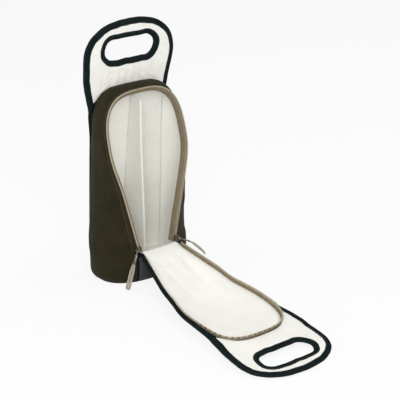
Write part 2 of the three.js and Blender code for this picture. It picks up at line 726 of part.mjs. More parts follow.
function flapPanel() {
  const edge = flapEdge();
  const outerLow = -WALL;
  const foamLow = outerLow + OUTER_CLOTH + GAP;
  const liningLow = foamLow + FOAM + GAP;
  add('flap_outer', panel(onOpenFlap, flapRows(edge, FLAP_FOOT, FLAP_GRIP_START - GAP), PANEL_COLUMNS,
    outerLow, outerLow + OUTER_CLOTH), charcoalCloth);
  const zipEdge = zipHalf().map(({ spot }) => spot);
  const inset = ZIP_SET_IN + ZIP_TAPE / 2 + GAP;
  const padding = shrunk(zipEdge, inset);
  padding[0].y = 0;
  const rows = flapRows(padding, FLAP_FOOT, ZIP_LENGTH - 2 * inset);
  add('flap_foam', panel(onOpenFlap, rows, PANEL_COLUMNS, foamLow, foamLow + FOAM), greyFoam);
  add('flap_lining', panel(onOpenFlap, rows, PANEL_COLUMNS, liningLow, liningLow + LINING), whiteLining);
}

function flapGrip() {
  const edge = flapEdge();
  const hole = handHole(HOLE_PLACE_ON_FLAP);
  const outerLow = -WALL;
  const coreLow = outerLow + OUTER_CLOTH + GAP;
  const facingLow = coreLow + FOAM + GAP;
  const sides = mirrored(above(edge, FLAP_GRIP_START));
  add('flap_grip_outer', cutout(onOpenFlap, sides, [hole], outerLow, outerLow + OUTER_CLOTH), charcoalCloth);
  const dome = shrunk(above(zipHalf().map(({ spot }) => spot), FLAP_GRIP_START), -ZIP_SET_IN - GAP);
  dome[0].y = FLAP_GRIP_START;
  const face = [...sides, ...mirrored(dome).reverse()];
  add('flap_grip_core', cutout(onOpenFlap, face, [hole], coreLow, coreLow + FOAM), greyFoam);
  add('flap_grip_facing', cutout(onOpenFlap, face, [hole], facingLow, facingLow + LINING), whiteLining);
  const rim = mirrored(above(edge, FLAP_GRIP_START + BINDING_REACH));
  const edgeClasp = clasp(BINDING_REACH, outerLow, 0);
  const holeClasp = clasp(HOLE_BINDING_REACH, outerLow, 0);
  add('flap_grip_binding', ribbon(onOpenFlap, rim, edgeClasp, false), blackBinding);
  add('flap_hole_binding', ribbon(onOpenFlap, hole, holeClasp, true), blackBinding);
  const side = below(above(edge, FLAP_FOOT), FLAP_GRIP_START + BINDING_REACH - GAP);
  const section = bar(GAP, GAP + BINDING_EDGE, outerLow, RIM_BINDING_RISE);
  const left = (x, along, depth) => onOpenFlap(-x, along, depth);
  add('flap_right_binding', ribbon(onOpenFlap, side, section, false), blackBinding);
  add('flap_left_binding', ribbon(left, side, section, false), blackBinding);
}

function flapZip() {
  const path = zipPath(ZIP_START_ON_FLAP);
  const half = ZIP_TAPE / 2;
  const tooth = ZIP_TOOTH_WIDTH / 2;
  const seat = -WALL + OUTER_CLOTH + GAP;
  add('flap_zip_tape', ribbon(onOpenFlap, path,
    bar(-ZIP_SET_IN - half, -ZIP_SET_IN + half, seat, ZIP_TAPE_RISE), false), tanTape);
  add('flap_zip_teeth', ribbon(onOpenFlap, path,
    bar(-ZIP_SET_IN - tooth, -ZIP_SET_IN + tooth, FLAP_TEETH_LOW, FLAP_TEETH_HIGH), false), tanTeeth);
}

// Zip sliders: two plates joined by a wedge, with two ears and a pin that carry the pull

function legFrame() {
  const low = onClosedFront(ZIP_FOOT_HALF_WIDTH, 0, 0);
  const high = onClosedFront(ZIP_LEG_HALF_WIDTH, ZIP_LEG_LENGTH, 0);
  const along = high.clone().sub(low).normalize();
  const inward = closedInward.clone().addScaledVector(along, -closedInward.dot(along)).normalize();
  const outward = new THREE.Vector3().crossVectors(inward, along);
  const wedge = (BODY_TEETH_LOW + FLAP_TEETH_HIGH) / 2;
  const origin = low.clone().addScaledVector(along, SLIDER_PLACE)
    .addScaledVector(outward, -ZIP_SET_IN).addScaledVector(inward, wedge);
  return new THREE.Matrix4().makeBasis(outward, inward, along).setPosition(origin);
}

// A box from its low and high corners in (outward, inward, along)
function block(low, high) {
  const box = new THREE.BoxGeometry(...high.map((value, i) => value - low[i]));
  box.translate(...high.map((value, i) => (value + low[i]) / 2));
  return toManifold(box);
}

function pinRod(radius, length) {
  return new THREE.CylinderGeometry(radius, radius, length, ROUND_STEPS);
}

const plateStart = ZIP_TOOTH_WIDTH / 2 + SLIDER_CLEARANCE;
const plateEnd = plateStart + SLIDER_PLATE;
const slotReach = (BODY_TEETH_HIGH - FLAP_TEETH_LOW) / 2 + SLIDER_PLATE_OVERLAP;
const pinPlace = [plateEnd + PULL_PIN_STAND, -PULL_PIN_FORWARD, 0];
const earRoom = PULL_NECK_WIDTH / 2 + GAP;

function sliderGeometry() {
  const half = SLIDER_LENGTH / 2;
  const wedge = ZIP_WEDGE_ROOM / 2 - GAP;
  let body = block([plateStart, -slotReach, -half], [plateEnd, slotReach, half]);
  body = body.add(block([-plateEnd, -slotReach, -half], [-plateStart, slotReach, half]));
  const wedgeHalf = SLIDER_WEDGE_LENGTH / 2;
  body = body.add(block([-plateEnd, -wedge, -wedgeHalf], [plateEnd, wedge, wedgeHalf]));
  for (const side of [-1, 1]) {
    const ends = [side * earRoom, side * (earRoom + PULL_EAR)].map((value) => value - PULL_PIN_FORWARD);
    body = body.add(block([plateStart, Math.min(...ends), -PULL_EAR_LENGTH / 2],
      [plateEnd + PULL_PIN_STAND + PULL_EAR_LENGTH / 2, Math.max(...ends), PULL_EAR_LENGTH / 2]));
  }
  const pin = pinRod(PULL_PIN_RADIUS, 2 * (earRoom + PULL_EAR / 2));
  pin.translate(...pinPlace);
  return fromManifold(body.add(toManifold(pin)));
}

// The pull hangs from its pin: down the zip turned outward by an angle
function pullFrame(angle) {
  const down = new THREE.Vector3(Math.sin(angle), 0, -Math.cos(angle));
  const axle = new THREE.Vector3(0, 1, 0);
  const face = new THREE.Vector3().crossVectors(axle, down);
  return new THREE.Matrix4().makeBasis(face, axle, down).setPosition(...pinPlace);
}

function pullTab() {
  const eye = PULL_PIN_RADIUS + GAP;
  const half = PULL_TAB_THICKNESS / 2;
  const neck = PULL_NECK_WIDTH / 2;
  const shoulder = PULL_PIN_STAND + PULL_EAR_LENGTH;
  let body = toManifold(pinRod(eye + PULL_EYE_WALL, PULL_NECK_WIDTH));
  body = body.add(block([-half, -neck, 0], [half, neck, shoulder + half]));
  body = body.add(block([-half, -PULL_TAB_WIDTH / 2, shoulder], [half, PULL_TAB_WIDTH / 2, PULL_TAB_LENGTH]));
  return fromManifold(body.subtract(toManifold(pinRod(eye, PULL_NECK_WIDTH + PULL_TAB_WIDTH))));
}

function pullTape() {
  const half = PULL_TAPE_THICKNESS / 2;
  const width = PULL_TAPE_WIDTH / 2;
  const start = PULL_TAB_LENGTH + GAP;
  return fromManifold(block([-half, -width, start], [half, width, start + PULL_TAPE_LENGTH]));
}

// The same geometry on the other side of the bag, with its faces turned the right way again
function toLeft(geometry) {
  const mirror = geometry.clone().applyMatrix4(new THREE.Matrix4().makeScale(-1, 1, 1));
  const index = [...mirror.getIndex().array];
  for (let i = 0; i < index.length; i += 3) [index[i], index[i + 1]] = [index[i + 1], index[i]];
  mirror.setIndex(index);
  return mirror;
}

function sliders() {
  const leg = legFrame();
  const sides = [['right', RIGHT_PULL_ANGLE, (geometry) => geometry], ['left', LEFT_PULL_ANGLE, toLeft]];
  for (const [side, angle, turn] of sides) {
    const swing = leg.clone().multiply(pullFrame(angle));
    add(`${side}_slider`, turn(sliderGeometry().applyMatrix4(leg)), sliderMetal);
    add(`${side}_pull_tab`, turn(pullTab().applyMatrix4(swing)), sliderMetal);
    add(`${side}_pull_tape`, turn(pullTape().applyMatrix4(swing)), tanTape);
  }
}

base();
wall();
frontStrip();
hingeTape();
backPanel();
backGrip();
divider();
bodyZip();
flapPanel();
flapGrip();
flapZip();
sliders();

export default bag;
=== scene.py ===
# Soft insulated bottle bag: padded cloth body, folded-down zip flap, bound carrying grips.
# Lengths are in millimetres inside the helpers and become metres when a mesh is laid out.
import math
from bisect import bisect_right

import bmesh
import bpy
from mathutils import Matrix, Vector, noise


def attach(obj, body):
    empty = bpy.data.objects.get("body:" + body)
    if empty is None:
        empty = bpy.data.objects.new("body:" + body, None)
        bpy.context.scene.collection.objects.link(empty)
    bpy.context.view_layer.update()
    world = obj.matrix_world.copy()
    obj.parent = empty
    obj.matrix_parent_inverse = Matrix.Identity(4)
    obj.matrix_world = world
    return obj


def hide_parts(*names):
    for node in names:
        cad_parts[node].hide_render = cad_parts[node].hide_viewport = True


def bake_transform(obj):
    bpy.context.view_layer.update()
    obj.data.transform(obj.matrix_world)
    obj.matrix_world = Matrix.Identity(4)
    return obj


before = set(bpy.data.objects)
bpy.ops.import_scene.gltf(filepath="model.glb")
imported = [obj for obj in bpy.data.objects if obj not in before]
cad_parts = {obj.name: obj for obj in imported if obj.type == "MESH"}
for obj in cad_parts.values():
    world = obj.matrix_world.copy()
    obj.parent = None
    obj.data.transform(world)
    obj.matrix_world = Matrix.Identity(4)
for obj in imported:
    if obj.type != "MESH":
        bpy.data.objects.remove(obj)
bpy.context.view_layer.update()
scene = bpy.context.scene
MM = 0.001
BODY, FLAP = "bag_body", "flap"

# Layers of the padded wall
OUTER, FOAM, LINING, GAP, SEAM_GAP = 1.2, 4.0, 0.8, 0.3, 0.6
WALL = OUTER + GAP + FOAM + GAP + LINING
FOAM_MIDDLE = OUTER + GAP + FOAM / 2
LINING_MIDDLE = WALL - LINING / 2

# Base and wall
BASE_HALF_WIDTH, BASE_HALF_DEPTH, OVAL_POWER = 93.0, 60.5, 2.3
BASE_PADDING_INSET, BASE_LINING_INSET, BASE_STEPS = 13.4, 7.6, 72
BASE_PADDING_HEIGHT, BASE_LINING_HEIGHT, BASE_LINING_CROWN = 6.3, 9.0, 0.8
WELT_RADIUS, WELT_HEIGHT = 1.25, 1.6
STRIP_HALF_WIDTH = 40.5
WALL_BULGE_LOW, WALL_BULGE_SHOULDER, WALL_BULGE_ROOF = 47.95, 12.0, 5.0
WALL_FRONT_FULLNESS, WALL_BACK_FULLNESS, WALL_CURVE_SHARE = 1.2, 0.83, 0.25
WALL_FRONT_SETBACK, WALL_NOTCH_SETBACK, WALL_NOTCH_DROP = 0.7, 7.0, 8.0
WALL_COLUMNS, WALL_FOOT_STEPS, WALL_SEAM_LENGTH, PADDING_LIFT = 26, 14, 860, 2.6
CLOTH_FOOT = OUTER + GAP
FOOT_RADIUS, FOOT_LEAN = 16.0, 2.4

# Back panel and grips
BACK_TOP_Y, BACK_LEAN_POWER, BACK_BULGE = 30.0, 0.8, 18.0
BACK_HALF_WIDTH, BACK_SEAM_HALF_WIDTH = 76.0, 73.0
BACK_PADDING_HALF_WIDTH, BACK_PADDING_FOOT, BACK_PADDING_TOP = 57.4, 9.7, 295.0
BACK_LINING_WIDE, BACK_LINING_NARROW, BACK_LINING_FOOT, BACK_LINING_DROP = 73.5, 68.0, 7.0, 8.0
GRIP_START, GRIP_WIDEST, GRIP_TOP, GRIP_HALF_WIDTH = 300.0, 378.0, 440.0, 88.0
GRIP_CORNER_POWER, GRIP_FLARE, GRIP_CORE = 2.3, 1.2, 3.0
GRIP_FACE_CORNER, GRIP_BOUND_FOOT, NECK_SWAY = 301.0, 330.0, 4.6
NECK_TURN, DOME_TURN = (284.0, 302.0), (212.0, 248.0)
ROOF_SEAM_HEIGHT, ROOF_SEAM_POWER, SEAM_DRAW = 330.5, 4.5, 2.2
GRIP_STACK = GAP + GRIP_CORE + GAP + LINING
FLAP_FOAM, FLAP_GRIP_FOAM, BACK_GRIP_FOAM = FOAM - 1.2, FOAM / 4, GRIP_CORE - 0.4
HOLE_WIDTH, HOLE_HEIGHT = 104.0, 40.0
HOLE_ON_BACK, HOLE_ON_FLAP = 392.0, 334.0
BINDING_REACH, HOLE_BINDING_REACH, HOLE_BINDING_NOSE, BINDING_CLOTH = 8.5, 7.4, 2.0, 0.9
GRIP_SINK = 3.4

# Flap and zip
HINGE_Y, HINGE_Z = -60.5, 61.5
CLOSED_LEAN = math.radians(11.5)
FLAP_LENGTH, FLAP_TIP_CLEARANCE = 380.0, 0.6
FLAP_BOW, FLAP_BOW_TURN, FLAP_BOW_AT_GRIP = 11.5, 140.0, 7.0
FLAP_CUP, FLAP_SIDE_PULL = 8.0, 0.075
FLAP_LOWEST = WALL + GAP + 0.8
OPEN_PITCH = math.asin((HINGE_Z - FLAP_LOWEST - FLAP_TIP_CLEARANCE) / FLAP_LENGTH)
FLAP_GRIP_START, FLAP_GRIP_WIDEST, FLAP_GRIP_HALF_WIDTH = 234.0, 318.0, 85.0
ZIP_FOOT, ZIP_LEG, ZIP_LEG_LENGTH = 38.0, 62.0, 100.0
ZIP_HALF_WIDTH, ZIP_SHOULDER, ZIP_LENGTH, ZIP_DOME_POWER = 79.0, 180.0, 274.0, 3.0
ZIP_SET_IN, ZIP_CLOTH, HEM_CLOTH = 0.7, 0.7, 0.6
WALL_FRONT_EDGE = 13.5


def between(a, b, t):
    return a + (b - a) * t


def smooth(low, high, value):
    t = min(max((value - low) / (high - low), 0.0), 1.0)
    return t * t * (3 - 2 * t)


def superellipse(a, b, power, angle):
    c, s = max(math.cos(angle), 0.0), max(math.sin(angle), 0.0)
    return Vector((a * c ** (2 / power), b * s ** (2 / power)))


def bezier(points, t):
    a, b, c, d = points
    s = 1 - t
    return a * s**3 + b * (3 * s * s * t) + c * (3 * s * t * t) + d * t**3


class Line:
    """A line through many points, read by its share of the length, from 0 to 1."""

    def __init__(self, points, closed=False):
        self.points = [Vector(p) for p in points]
        if closed:
            self.points.append(self.points[0].copy())
        self.closed = closed
        self.marks = [0.0]
        for a, b in zip(self.points, self.points[1:]):
            self.marks.append(self.marks[-1] + (b - a).length)
        self.length = self.marks[-1]

    def at(self, share):
        target = (share % 1.0 if self.closed else min(max(share, 0.0), 1.0)) * self.length
        low = min(bisect_right(self.marks, target), len(self.marks) - 1) - 1
        span = self.marks[low + 1] - self.marks[low]
        return self.points[low].lerp(self.points[low + 1], (target - self.marks[low]) / span if span else 0.0)

    def outward(self, share):
        step = 1.5 / self.length
        along = (self.at(share + step) - self.at(share - step)).normalized()
        return Vector((along.y, -along.x))


# Camera at the photograph's viewing angle

TARGET = Vector((0, 0, 156 * MM))
AZIMUTH, ELEVATION = math.radians(-35.6), math.radians(23.2)
DISTANCE = 2331.7 * MM
FOCAL_PIXELS, PICTURE_PIXELS, SENSOR = 1369.4, 400, 36
CENTRE_RIGHT, CENTRE_DOWN = 60.9, 15.6


def make_camera():
    back = Vector((math.sin(AZIMUTH) * math.cos(ELEVATION), -math.cos(AZIMUTH) * math.cos(ELEVATION),
                   math.sin(ELEVATION)))
    right = Vector((math.cos(AZIMUTH), math.sin(AZIMUTH), 0))
    up = back.cross(right)
    aim = (-back * FOCAL_PIXELS + right * CENTRE_RIGHT - up * CENTRE_DOWN).normalized()
    side = (right - aim * right.dot(aim)).normalized()
    data = bpy.data.cameras.new("camera")
    data.sensor_width = SENSOR
    data.lens = SENSOR * FOCAL_PIXELS / PICTURE_PIXELS
    camera = bpy.data.objects.new("camera", data)
    scene.collection.objects.link(camera)
    axes = Matrix((side, (-aim).cross(side), -aim)).transposed().to_4x4()
    camera.matrix_world = Matrix.Translation(TARGET + back * DISTANCE) @ axes
    scene.camera = camera


make_camera()
scene.view_settings.view_transform = "Standard"


# Lines and surfaces of the bag

def steps(count, make=float):
    return [make(i / count) for i in range(count + 1)]


def mirrored(half):
    """A half outline from its foot to the middle, then down the other side."""
    return half + [Vector((-p.x, p.y)) for p in reversed(half[:-1])]


def zip_half():
    """One side of the zip, from the hinge to the middle of the dome: place and dome angle."""
    foot, leg = Vector((ZIP_FOOT, 0)), Vector((ZIP_LEG, ZIP_LEG_LENGTH))
    shoulder = Vector((ZIP_HALF_WIDTH, ZIP_SHOULDER))
    rise = (ZIP_SHOULDER - ZIP_LEG_LENGTH) / 3
    lean = (ZIP_LEG - ZIP_FOOT) / ZIP_LEG_LENGTH
    curve = (leg, leg + Vector((lean * rise, rise)), shoulder - Vector((0, rise)), shoulder)
    spots = [(foot.lerp(leg, t), 0.0) for t in steps(14)]
    spots += [(bezier(curve, t), 0.0) for t in steps(12)[1:]]
    for t in steps(32)[1:]:
        angle = t * math.pi / 2
        dome = superellipse(ZIP_HALF_WIDTH, ZIP_LENGTH - ZIP_SHOULDER, ZIP_DOME_POWER, angle)
        spots.append((dome + Vector((0, ZIP_SHOULDER)), angle))
    return spots


def grip_half(foot_half_width, foot, half, widest, top):
    """One side of a grip, from its foot to the middle of its top."""
    start, end = Vector((foot_half_width, foot)), Vector((half, widest))
    third = (widest - foot) / 3
    lean = (half - foot_half_width) / (widest - foot)
    side = (start, Vector((start.x + lean * third * GRIP_FLARE, foot + third)),
            Vector((end.x, widest - third)), end)
    corner = [superellipse(half, top - widest, GRIP_CORNER_POWER, t * math.pi / 2) + Vector((0, widest))
              for t in steps(40)]
    return steps(24, lambda t: bezier(side, t)) + corner[1:]


def above(half, height):
    """The part of a rising half outline above a height, cut there."""
    nxt = next(i for i, p in enumerate(half) if p.y > height + 1e-6)
    low, high = half[max(nxt - 1, 0)], half[nxt]
    t = (height - low.y) / (high.y - low.y) if high.y > low.y else 0.0
    return [low.lerp(high, t)] + half[nxt:]


def half_width(half, height):
    return above(half, height)[0].x


def shrunk(half, inset):
    """A half outline moved inwards."""
    made = []
    for i, p in enumerate(half):
        a, b = half[max(i - 1, 0)], half[min(i + 1, len(half) - 1)]
        along = (b - a).normalized() if i < len(half) - 1 else Vector((-1, 0))
        made.append(Vector((p.x - along.y * inset, p.y + along.x * inset)))
    made[-1].x = 0.0
    return made


def hand_hole(middle):
    """The hole's edge, clockwise from the top of its right end."""
    radius = HOLE_HEIGHT / 2
    reach = HOLE_WIDTH / 2 - radius
    angles = [(side, side * math.pi / 2 - math.pi * t) for side in (1, -1) for t in steps(24)]
    return [Vector((side * reach + radius * math.cos(angle), middle + radius * math.sin(angle)))
            for side, angle in angles]


def oval_front(x):
    share = 1 - (abs(x) / BASE_HALF_WIDTH) ** OVAL_POWER
    return -BASE_HALF_DEPTH * share ** (1 / OVAL_POWER)


def oval(turn, inset):
    """A place on the base's outline, by its share of a full turn."""
    c, s = math.cos(turn * 2 * math.pi), math.sin(turn * 2 * math.pi)
    spot = superellipse(BASE_HALF_WIDTH - inset, BASE_HALF_DEPTH - inset, OVAL_POWER,
                        math.acos(min(abs(c), 1.0)))
    return math.copysign(spot.x, c), math.copysign(spot.y, s)


def back_y(x, z):
    left = max(1 - z / GRIP_START, 0.0)
    middle = between(BACK_TOP_Y, BASE_HALF_DEPTH - OUTER, left**BACK_LEAN_POWER)
    return middle - BACK_BULGE * left * (x / BACK_SEAM_HALF_WIDTH) ** 2


def on_back(x, z, depth):
    return Vector((x, back_y(x, z) + depth, z))


def on_grip(x, z, depth):
    """The outer back cloth and its grip, whose soft neck sways a little to the left."""
    sway = NECK_SWAY * smooth(240.0, 300.0, z) * (1 - smooth(330.0, 380.0, z))
    return on_back(x - sway, z, depth) + Vector((0, back_y(x, z) - back_y(x - sway, z), 0))


def bow(along):
    """How far the front panel stands out of its flat plane."""
    leg_slope = FLAP_BOW / ZIP_LEG_LENGTH
    if along < ZIP_LEG_LENGTH:
        return -leg_slope * max(along, 0.0)
    grip_slope = FLAP_BOW_AT_GRIP / (FLAP_LENGTH - FLAP_GRIP_START)
    if along > FLAP_GRIP_START:
        return grip_slope * (along - FLAP_LENGTH)
    turn = FLAP_BOW_TURN - ZIP_LEG_LENGTH
    if along < FLAP_BOW_TURN:
        share = (along - ZIP_LEG_LENGTH) / turn
        return -FLAP_BOW - leg_slope * turn * (share - share**2 / 2)
    run = FLAP_GRIP_START - FLAP_BOW_TURN
    share = (along - FLAP_BOW_TURN) / run
    most = FLAP_BOW + leg_slope * turn / 2
    return (between(-most, -FLAP_BOW_AT_GRIP, share**2 * (3 - 2 * share))
            + grip_slope * run * share**2 * (share - 1))


def foot_inset(z):
    """How far the rounded foot of the body draws in at a height."""
    left = min(max(FOOT_RADIUS - z, 0.0), FOOT_RADIUS)
    return FOOT_RADIUS - math.sqrt(FOOT_RADIUS**2 - left**2) + FOOT_LEAN * (1 - smooth(0.0, 75.0, z))


HINGE = Vector((0, HINGE_Y, HINGE_Z))
OPEN_ALONG = Vector((0, -math.cos(OPEN_PITCH), -math.sin(OPEN_PITCH)))
OPEN_INWARD = Vector((0, -math.sin(OPEN_PITCH), math.cos(OPEN_PITCH)))
CLOSED_ALONG = Vector((0, math.sin(CLOSED_LEAN), math.cos(CLOSED_LEAN)))
CLOSED_INWARD = Vector((0, math.cos(CLOSED_LEAN), -math.sin(CLOSED_LEAN)))
RIGHTWARDS = Vector((1, 0, 0))


def on_front(x, along, depth):
    """The front of the body along the zip, where the closed flap lies."""
    return HINGE + RIGHTWARDS * x + CLOSED_ALONG * along + CLOSED_INWARD * (depth + bow(along))


ZIP_HALF = [spot for spot, angle in zip_half()]
FLAP_EDGE = ([spot for spot, angle in zip_half() if angle == 0]
             + grip_half(ZIP_HALF_WIDTH, ZIP_SHOULDER, FLAP_GRIP_HALF_WIDTH, FLAP_GRIP_WIDEST, FLAP_LENGTH)[1:])
BACK_EDGE = ([Vector((BACK_HALF_WIDTH, between(CLOTH_FOOT, GRIP_START, t))) for t in steps(40)]
             + grip_half(BACK_HALF_WIDTH, GRIP_START, GRIP_HALF_WIDTH, GRIP_WIDEST, GRIP_TOP)[1:])
FLAP_HALF_WIDTHS = [half_width(FLAP_EDGE, max(along, 0.01)) for along in range(int(FLAP_GRIP_WIDEST))]
SHOULDER_Z = on_front(0, ZIP_SHOULDER, 0).z


def on_flap(x, along, depth):
    """The open flap: its sides are drawn in a little and its middle sags between them."""
    taut = 1 - smooth(215.0, 300.0, along)
    slack, drawn = smooth(12.0, 80.0, along) * taut, smooth(84.0, 135.0, along) * taut
    half = FLAP_HALF_WIDTHS[min(max(int(along), 0), len(FLAP_HALF_WIDTHS) - 1)]
    cup = FLAP_CUP * slack * max(1 - (x / half) ** 2, 0.0)
    return (HINGE + RIGHTWARDS * x * (1 - FLAP_SIDE_PULL * drawn) + OPEN_ALONG * along
            + OPEN_INWARD * (depth + bow(along) - cup))


# Finishes


def tint(levels):
    """A colour as it is seen, from 0 to 255, made linear for the shader."""
    shares = [level / 255 for level in levels]
    return (*(s / 12.92 if s <= 0.04045 else ((s + 0.055) / 1.055) ** 2.4 for s in shares), 1.0)


class Finish:
    """A material under construction; a source is a plain value or a (node, output) pair."""

    def __init__(self, name, slot=None):
        self.material = bpy.data.materials.new(name)
        self.material.use_nodes = True
        self.tree = self.material.node_tree
        self.shader = self.tree.nodes["Principled BSDF"]
        slot or name

    def node(self, kind, **values):
        made = self.tree.nodes.new(kind)
        for key, value in values.items():
            if key in made.bl_rna.properties:
                setattr(made, key, value)
            else:
                made.inputs[key].default_value = value
        return made

    def feed(self, source, target, socket):
        if isinstance(source, tuple) and isinstance(source[0], bpy.types.Node):
            self.tree.links.new(source[0].outputs[source[1]], target.inputs[socket])
        else:
            target.inputs[socket].default_value = source

    def fill(self, **values):
        """Values and sources for the shader's own sockets."""
        for socket, source in values.items():
            self.feed(source, self.shader, socket.replace("_", " "))

    def math(self, operation, *sources):
        made = self.node("ShaderNodeMath", operation=operation)
        for socket, source in enumerate(sources):
            self.feed(source, made, socket)
        return made, 0

    def mix(self, share, low, high):
        made = self.node("ShaderNodeMix", data_type="RGBA")
        for socket, source in ((0, share), (6, low), (7, high)):
            self.feed(source, made, socket)
        return made, 2

    def spread(self, source, low, high, to_low=0.0, to_high=1.0):
        made = self.node("ShaderNodeMapRange")
        for socket, value in enumerate((source, low, high, to_low, to_high)):
            self.feed(value, made, socket)
        return made, 0

    def noise(self, scale, detail):
        made = self.node("ShaderNodeTexNoise", Scale=scale, Detail=detail, Roughness=0.55)
        self.feed((self.node("ShaderNodeTexCoord"), "Object"), made, "Vector")
        return made, "Fac"

    def bands(self, direction, pitch, wander):
        """Even threads of a given pitch in metres, along the cloth's own map."""
        made = self.node("ShaderNodeTexWave", wave_type="BANDS", bands_direction=direction, wave_profile="SIN",
                         Scale=math.pi / 10 / pitch, Distortion=wander, Detail=1.0)
        self.feed((self.node("ShaderNodeTexCoord"), "UV"), made, "Vector")
        return made, "Fac"

    # Each corner's share of paler colour: worn places on most pieces, and a painted highlight along the zip tape's
    # upper edge.
    def wear_and_highlight(self):
        return self.node("ShaderNodeAttribute", attribute_name="wear_and_highlight"), "Fac"

    def bump(self, *heights):
        """Bumps in order, each a (source, distance in metres, strength)."""
        last = None
        for source, distance, strength in heights:
            made = self.node("ShaderNodeBump", Distance=distance, Strength=strength)
            self.feed(source, made, "Height")
            if last:
                self.feed((last, "Normal"), made, "Normal")
            last = made
        self.fill(Normal=(last, "Normal"))


def woven(name, dark, light, worn, pitch, relief, rough, sheen, patch_scale):
    """Plain-woven cloth: threads both ways, uneven dye and paler worn places where the cloth is scuffed."""
    f = Finish(name)
    dark, light, worn = tint(dark), tint(light), tint(worn)
    weave = f.math("MULTIPLY", f.bands("X", pitch, 0.6), f.bands("Y", pitch * 1.08, 0.6))
    patch, fuzz = f.noise(patch_scale, 4.0), f.noise(1400, 2.0)
    threads = f.mix(f.spread(weave, 0.0, 1.0, 0.0, 0.35), f.mix(f.spread(patch, 0.3, 0.7), dark, light), light)
    scuff = f.math("MULTIPLY", f.wear_and_highlight(), f.spread(f.noise(160, 5.0), 0.35, 0.65, 0.3, 1.0))
    f.bump((weave, relief, 0.7), (fuzz, relief * 0.5, 0.35), (f.noise(38, 3.0), 0.0012, 0.25))
    f.fill(Base_Color=f.mix(scuff, threads, worn), Roughness=f.spread(patch, 0.2, 0.8, rough - 0.06, rough + 0.06),
           Sheen_Weight=sheen, Sheen_Roughness=0.45, Specular_IOR_Level=0.05)
    return f.material


def ribbed(name, dark, light, edge, pitch, relief, rough, sheen, gloss, slot=None):
    """Tape with fine cross ribs, as zip tape and binding have. The edge colour comes in by each corner's share: worn
    fold edges on binding, and a painted highlight along the zip tape's upper edge.
    """
    f = Finish(name, slot)
    dark, light, edge = tint(dark), tint(light), tint(edge)
    ribs = f.bands("Y", pitch, 0.3)
    weave = f.math("MULTIPLY", ribs, f.bands("X", pitch * 1.6, 0.3))
    patch = f.noise(90, 4.0)
    ribbing = f.mix(f.spread(ribs, 0.0, 1.0, 0.0, 0.5), f.mix(f.spread(patch, 0.3, 0.7), dark, light), light)
    f.bump((weave, relief, 0.8), (f.noise(900, 2.0), relief * 0.4, 0.3))
    f.fill(Base_Color=f.mix(f.wear_and_highlight(), ribbing, edge), Roughness=f.spread(patch, 0.2, 0.8, rough - 0.07, rough + 0.07),
           Sheen_Weight=sheen, Specular_IOR_Level=gloss)
    return f.material


def moulded(name, dark, light, rough, metal, grain, slot=None):
    """Cast or moulded small parts with a fine uneven surface."""
    f = Finish(name, slot)
    patch, fine = f.noise(260, 4.0), f.noise(grain, 3.0)
    f.bump((fine, 0.0001, 0.4))
    f.fill(Base_Color=f.mix(f.spread(patch, 0.3, 0.7), tint(dark), tint(light)),
           Roughness=f.spread(fine, 0.3, 0.7, rough - 0.1, rough + 0.1), Metallic=metal)
    return f.material


def thread(name, dark, light, slot):
    return moulded(name, dark, light, 0.6, 0.0, 1800, slot)


OLIVE = woven("olive_cloth", (38, 35, 22), (50, 46, 31), (80, 74, 56), 0.0009, 0.00022, 0.8, 0.05, 30)
CHARCOAL = woven("charcoal_cloth", (67, 67, 68), (82, 82, 83), (108, 108, 107), 0.0009, 0.00022, 0.8, 0.06, 30)
WHITE = woven("white_lining", (235, 234, 227), (244, 243, 237), (222, 220, 210), 0.0005, 0.00008, 0.52, 0.0, 18)
BINDING = ribbed("black_binding", (18, 25, 26), (29, 37, 38), (46, 54, 54), 0.0011, 0.0002, 0.8, 0.0, 0.0)
# The tan tape's paler third colour is a painted highlight, laid along the zip tape's upper edge.
TAPE = ribbed("tan_tape", (110, 99, 77), (134, 122, 99), (166, 157, 136), 0.0009, 0.00018, 0.76, 0.02, 0.1)
TEETH = moulded("tan_teeth", (168, 156, 133), (198, 187, 164), 0.44, 0.0, 1500)
METAL = moulded("slider_metal", (128, 122, 106), (160, 153, 136), 0.4, 1.0, 2200)
FOAMED = moulded("foam", (196, 200, 203), (214, 217, 219), 0.85, 0.0, 700)
BOARD = moulded("stiff_board", (98, 82, 62), (120, 102, 80), 0.85, 0.0, 500)
PULL_TAPE = ribbed("pull_tape", (150, 141, 121), (176, 168, 149), (204, 197, 180), 0.0009, 0.00018, 0.76, 0.04, 0.1,
                   "tan_tape")
PULL_WRAP = moulded("brown_wrap", (92, 72, 58), (118, 96, 78), 0.7, 0.0, 900, "tan_tape")
THREAD_DARK = thread("dark_thread", (36, 45, 46), (60, 69, 70), "black_binding")
THREAD_GREY = thread("grey_thread", (88, 88, 88), (112, 112, 111), "charcoal_cloth")
THREAD_OLIVE = thread("olive_thread", (72, 67, 51), (96, 90, 71), "olive_cloth")
THREAD_BROWN = thread("brown_thread", (84, 62, 38), (106, 82, 54), "tan_tape")
THREAD_TAN = thread("tan_thread", (150, 138, 116), (178, 166, 144), "tan_tape")


# Making pieces

CUTS = {}
DRAPE_FRAMES, DRAPE_SINK = 22, 0.12


def finish_mesh(name, bm, material):
    bmesh.ops.recalc_face_normals(bm, faces=bm.faces[:])
    for face in bm.faces:
        face.smooth = True
    mesh = bpy.data.meshes.new(name)
    bm.to_mesh(mesh)
    bm.free()
    mesh.materials.append(material)
    piece = bpy.data.objects.new(name, mesh)
    scene.collection.objects.link(piece)
    return piece


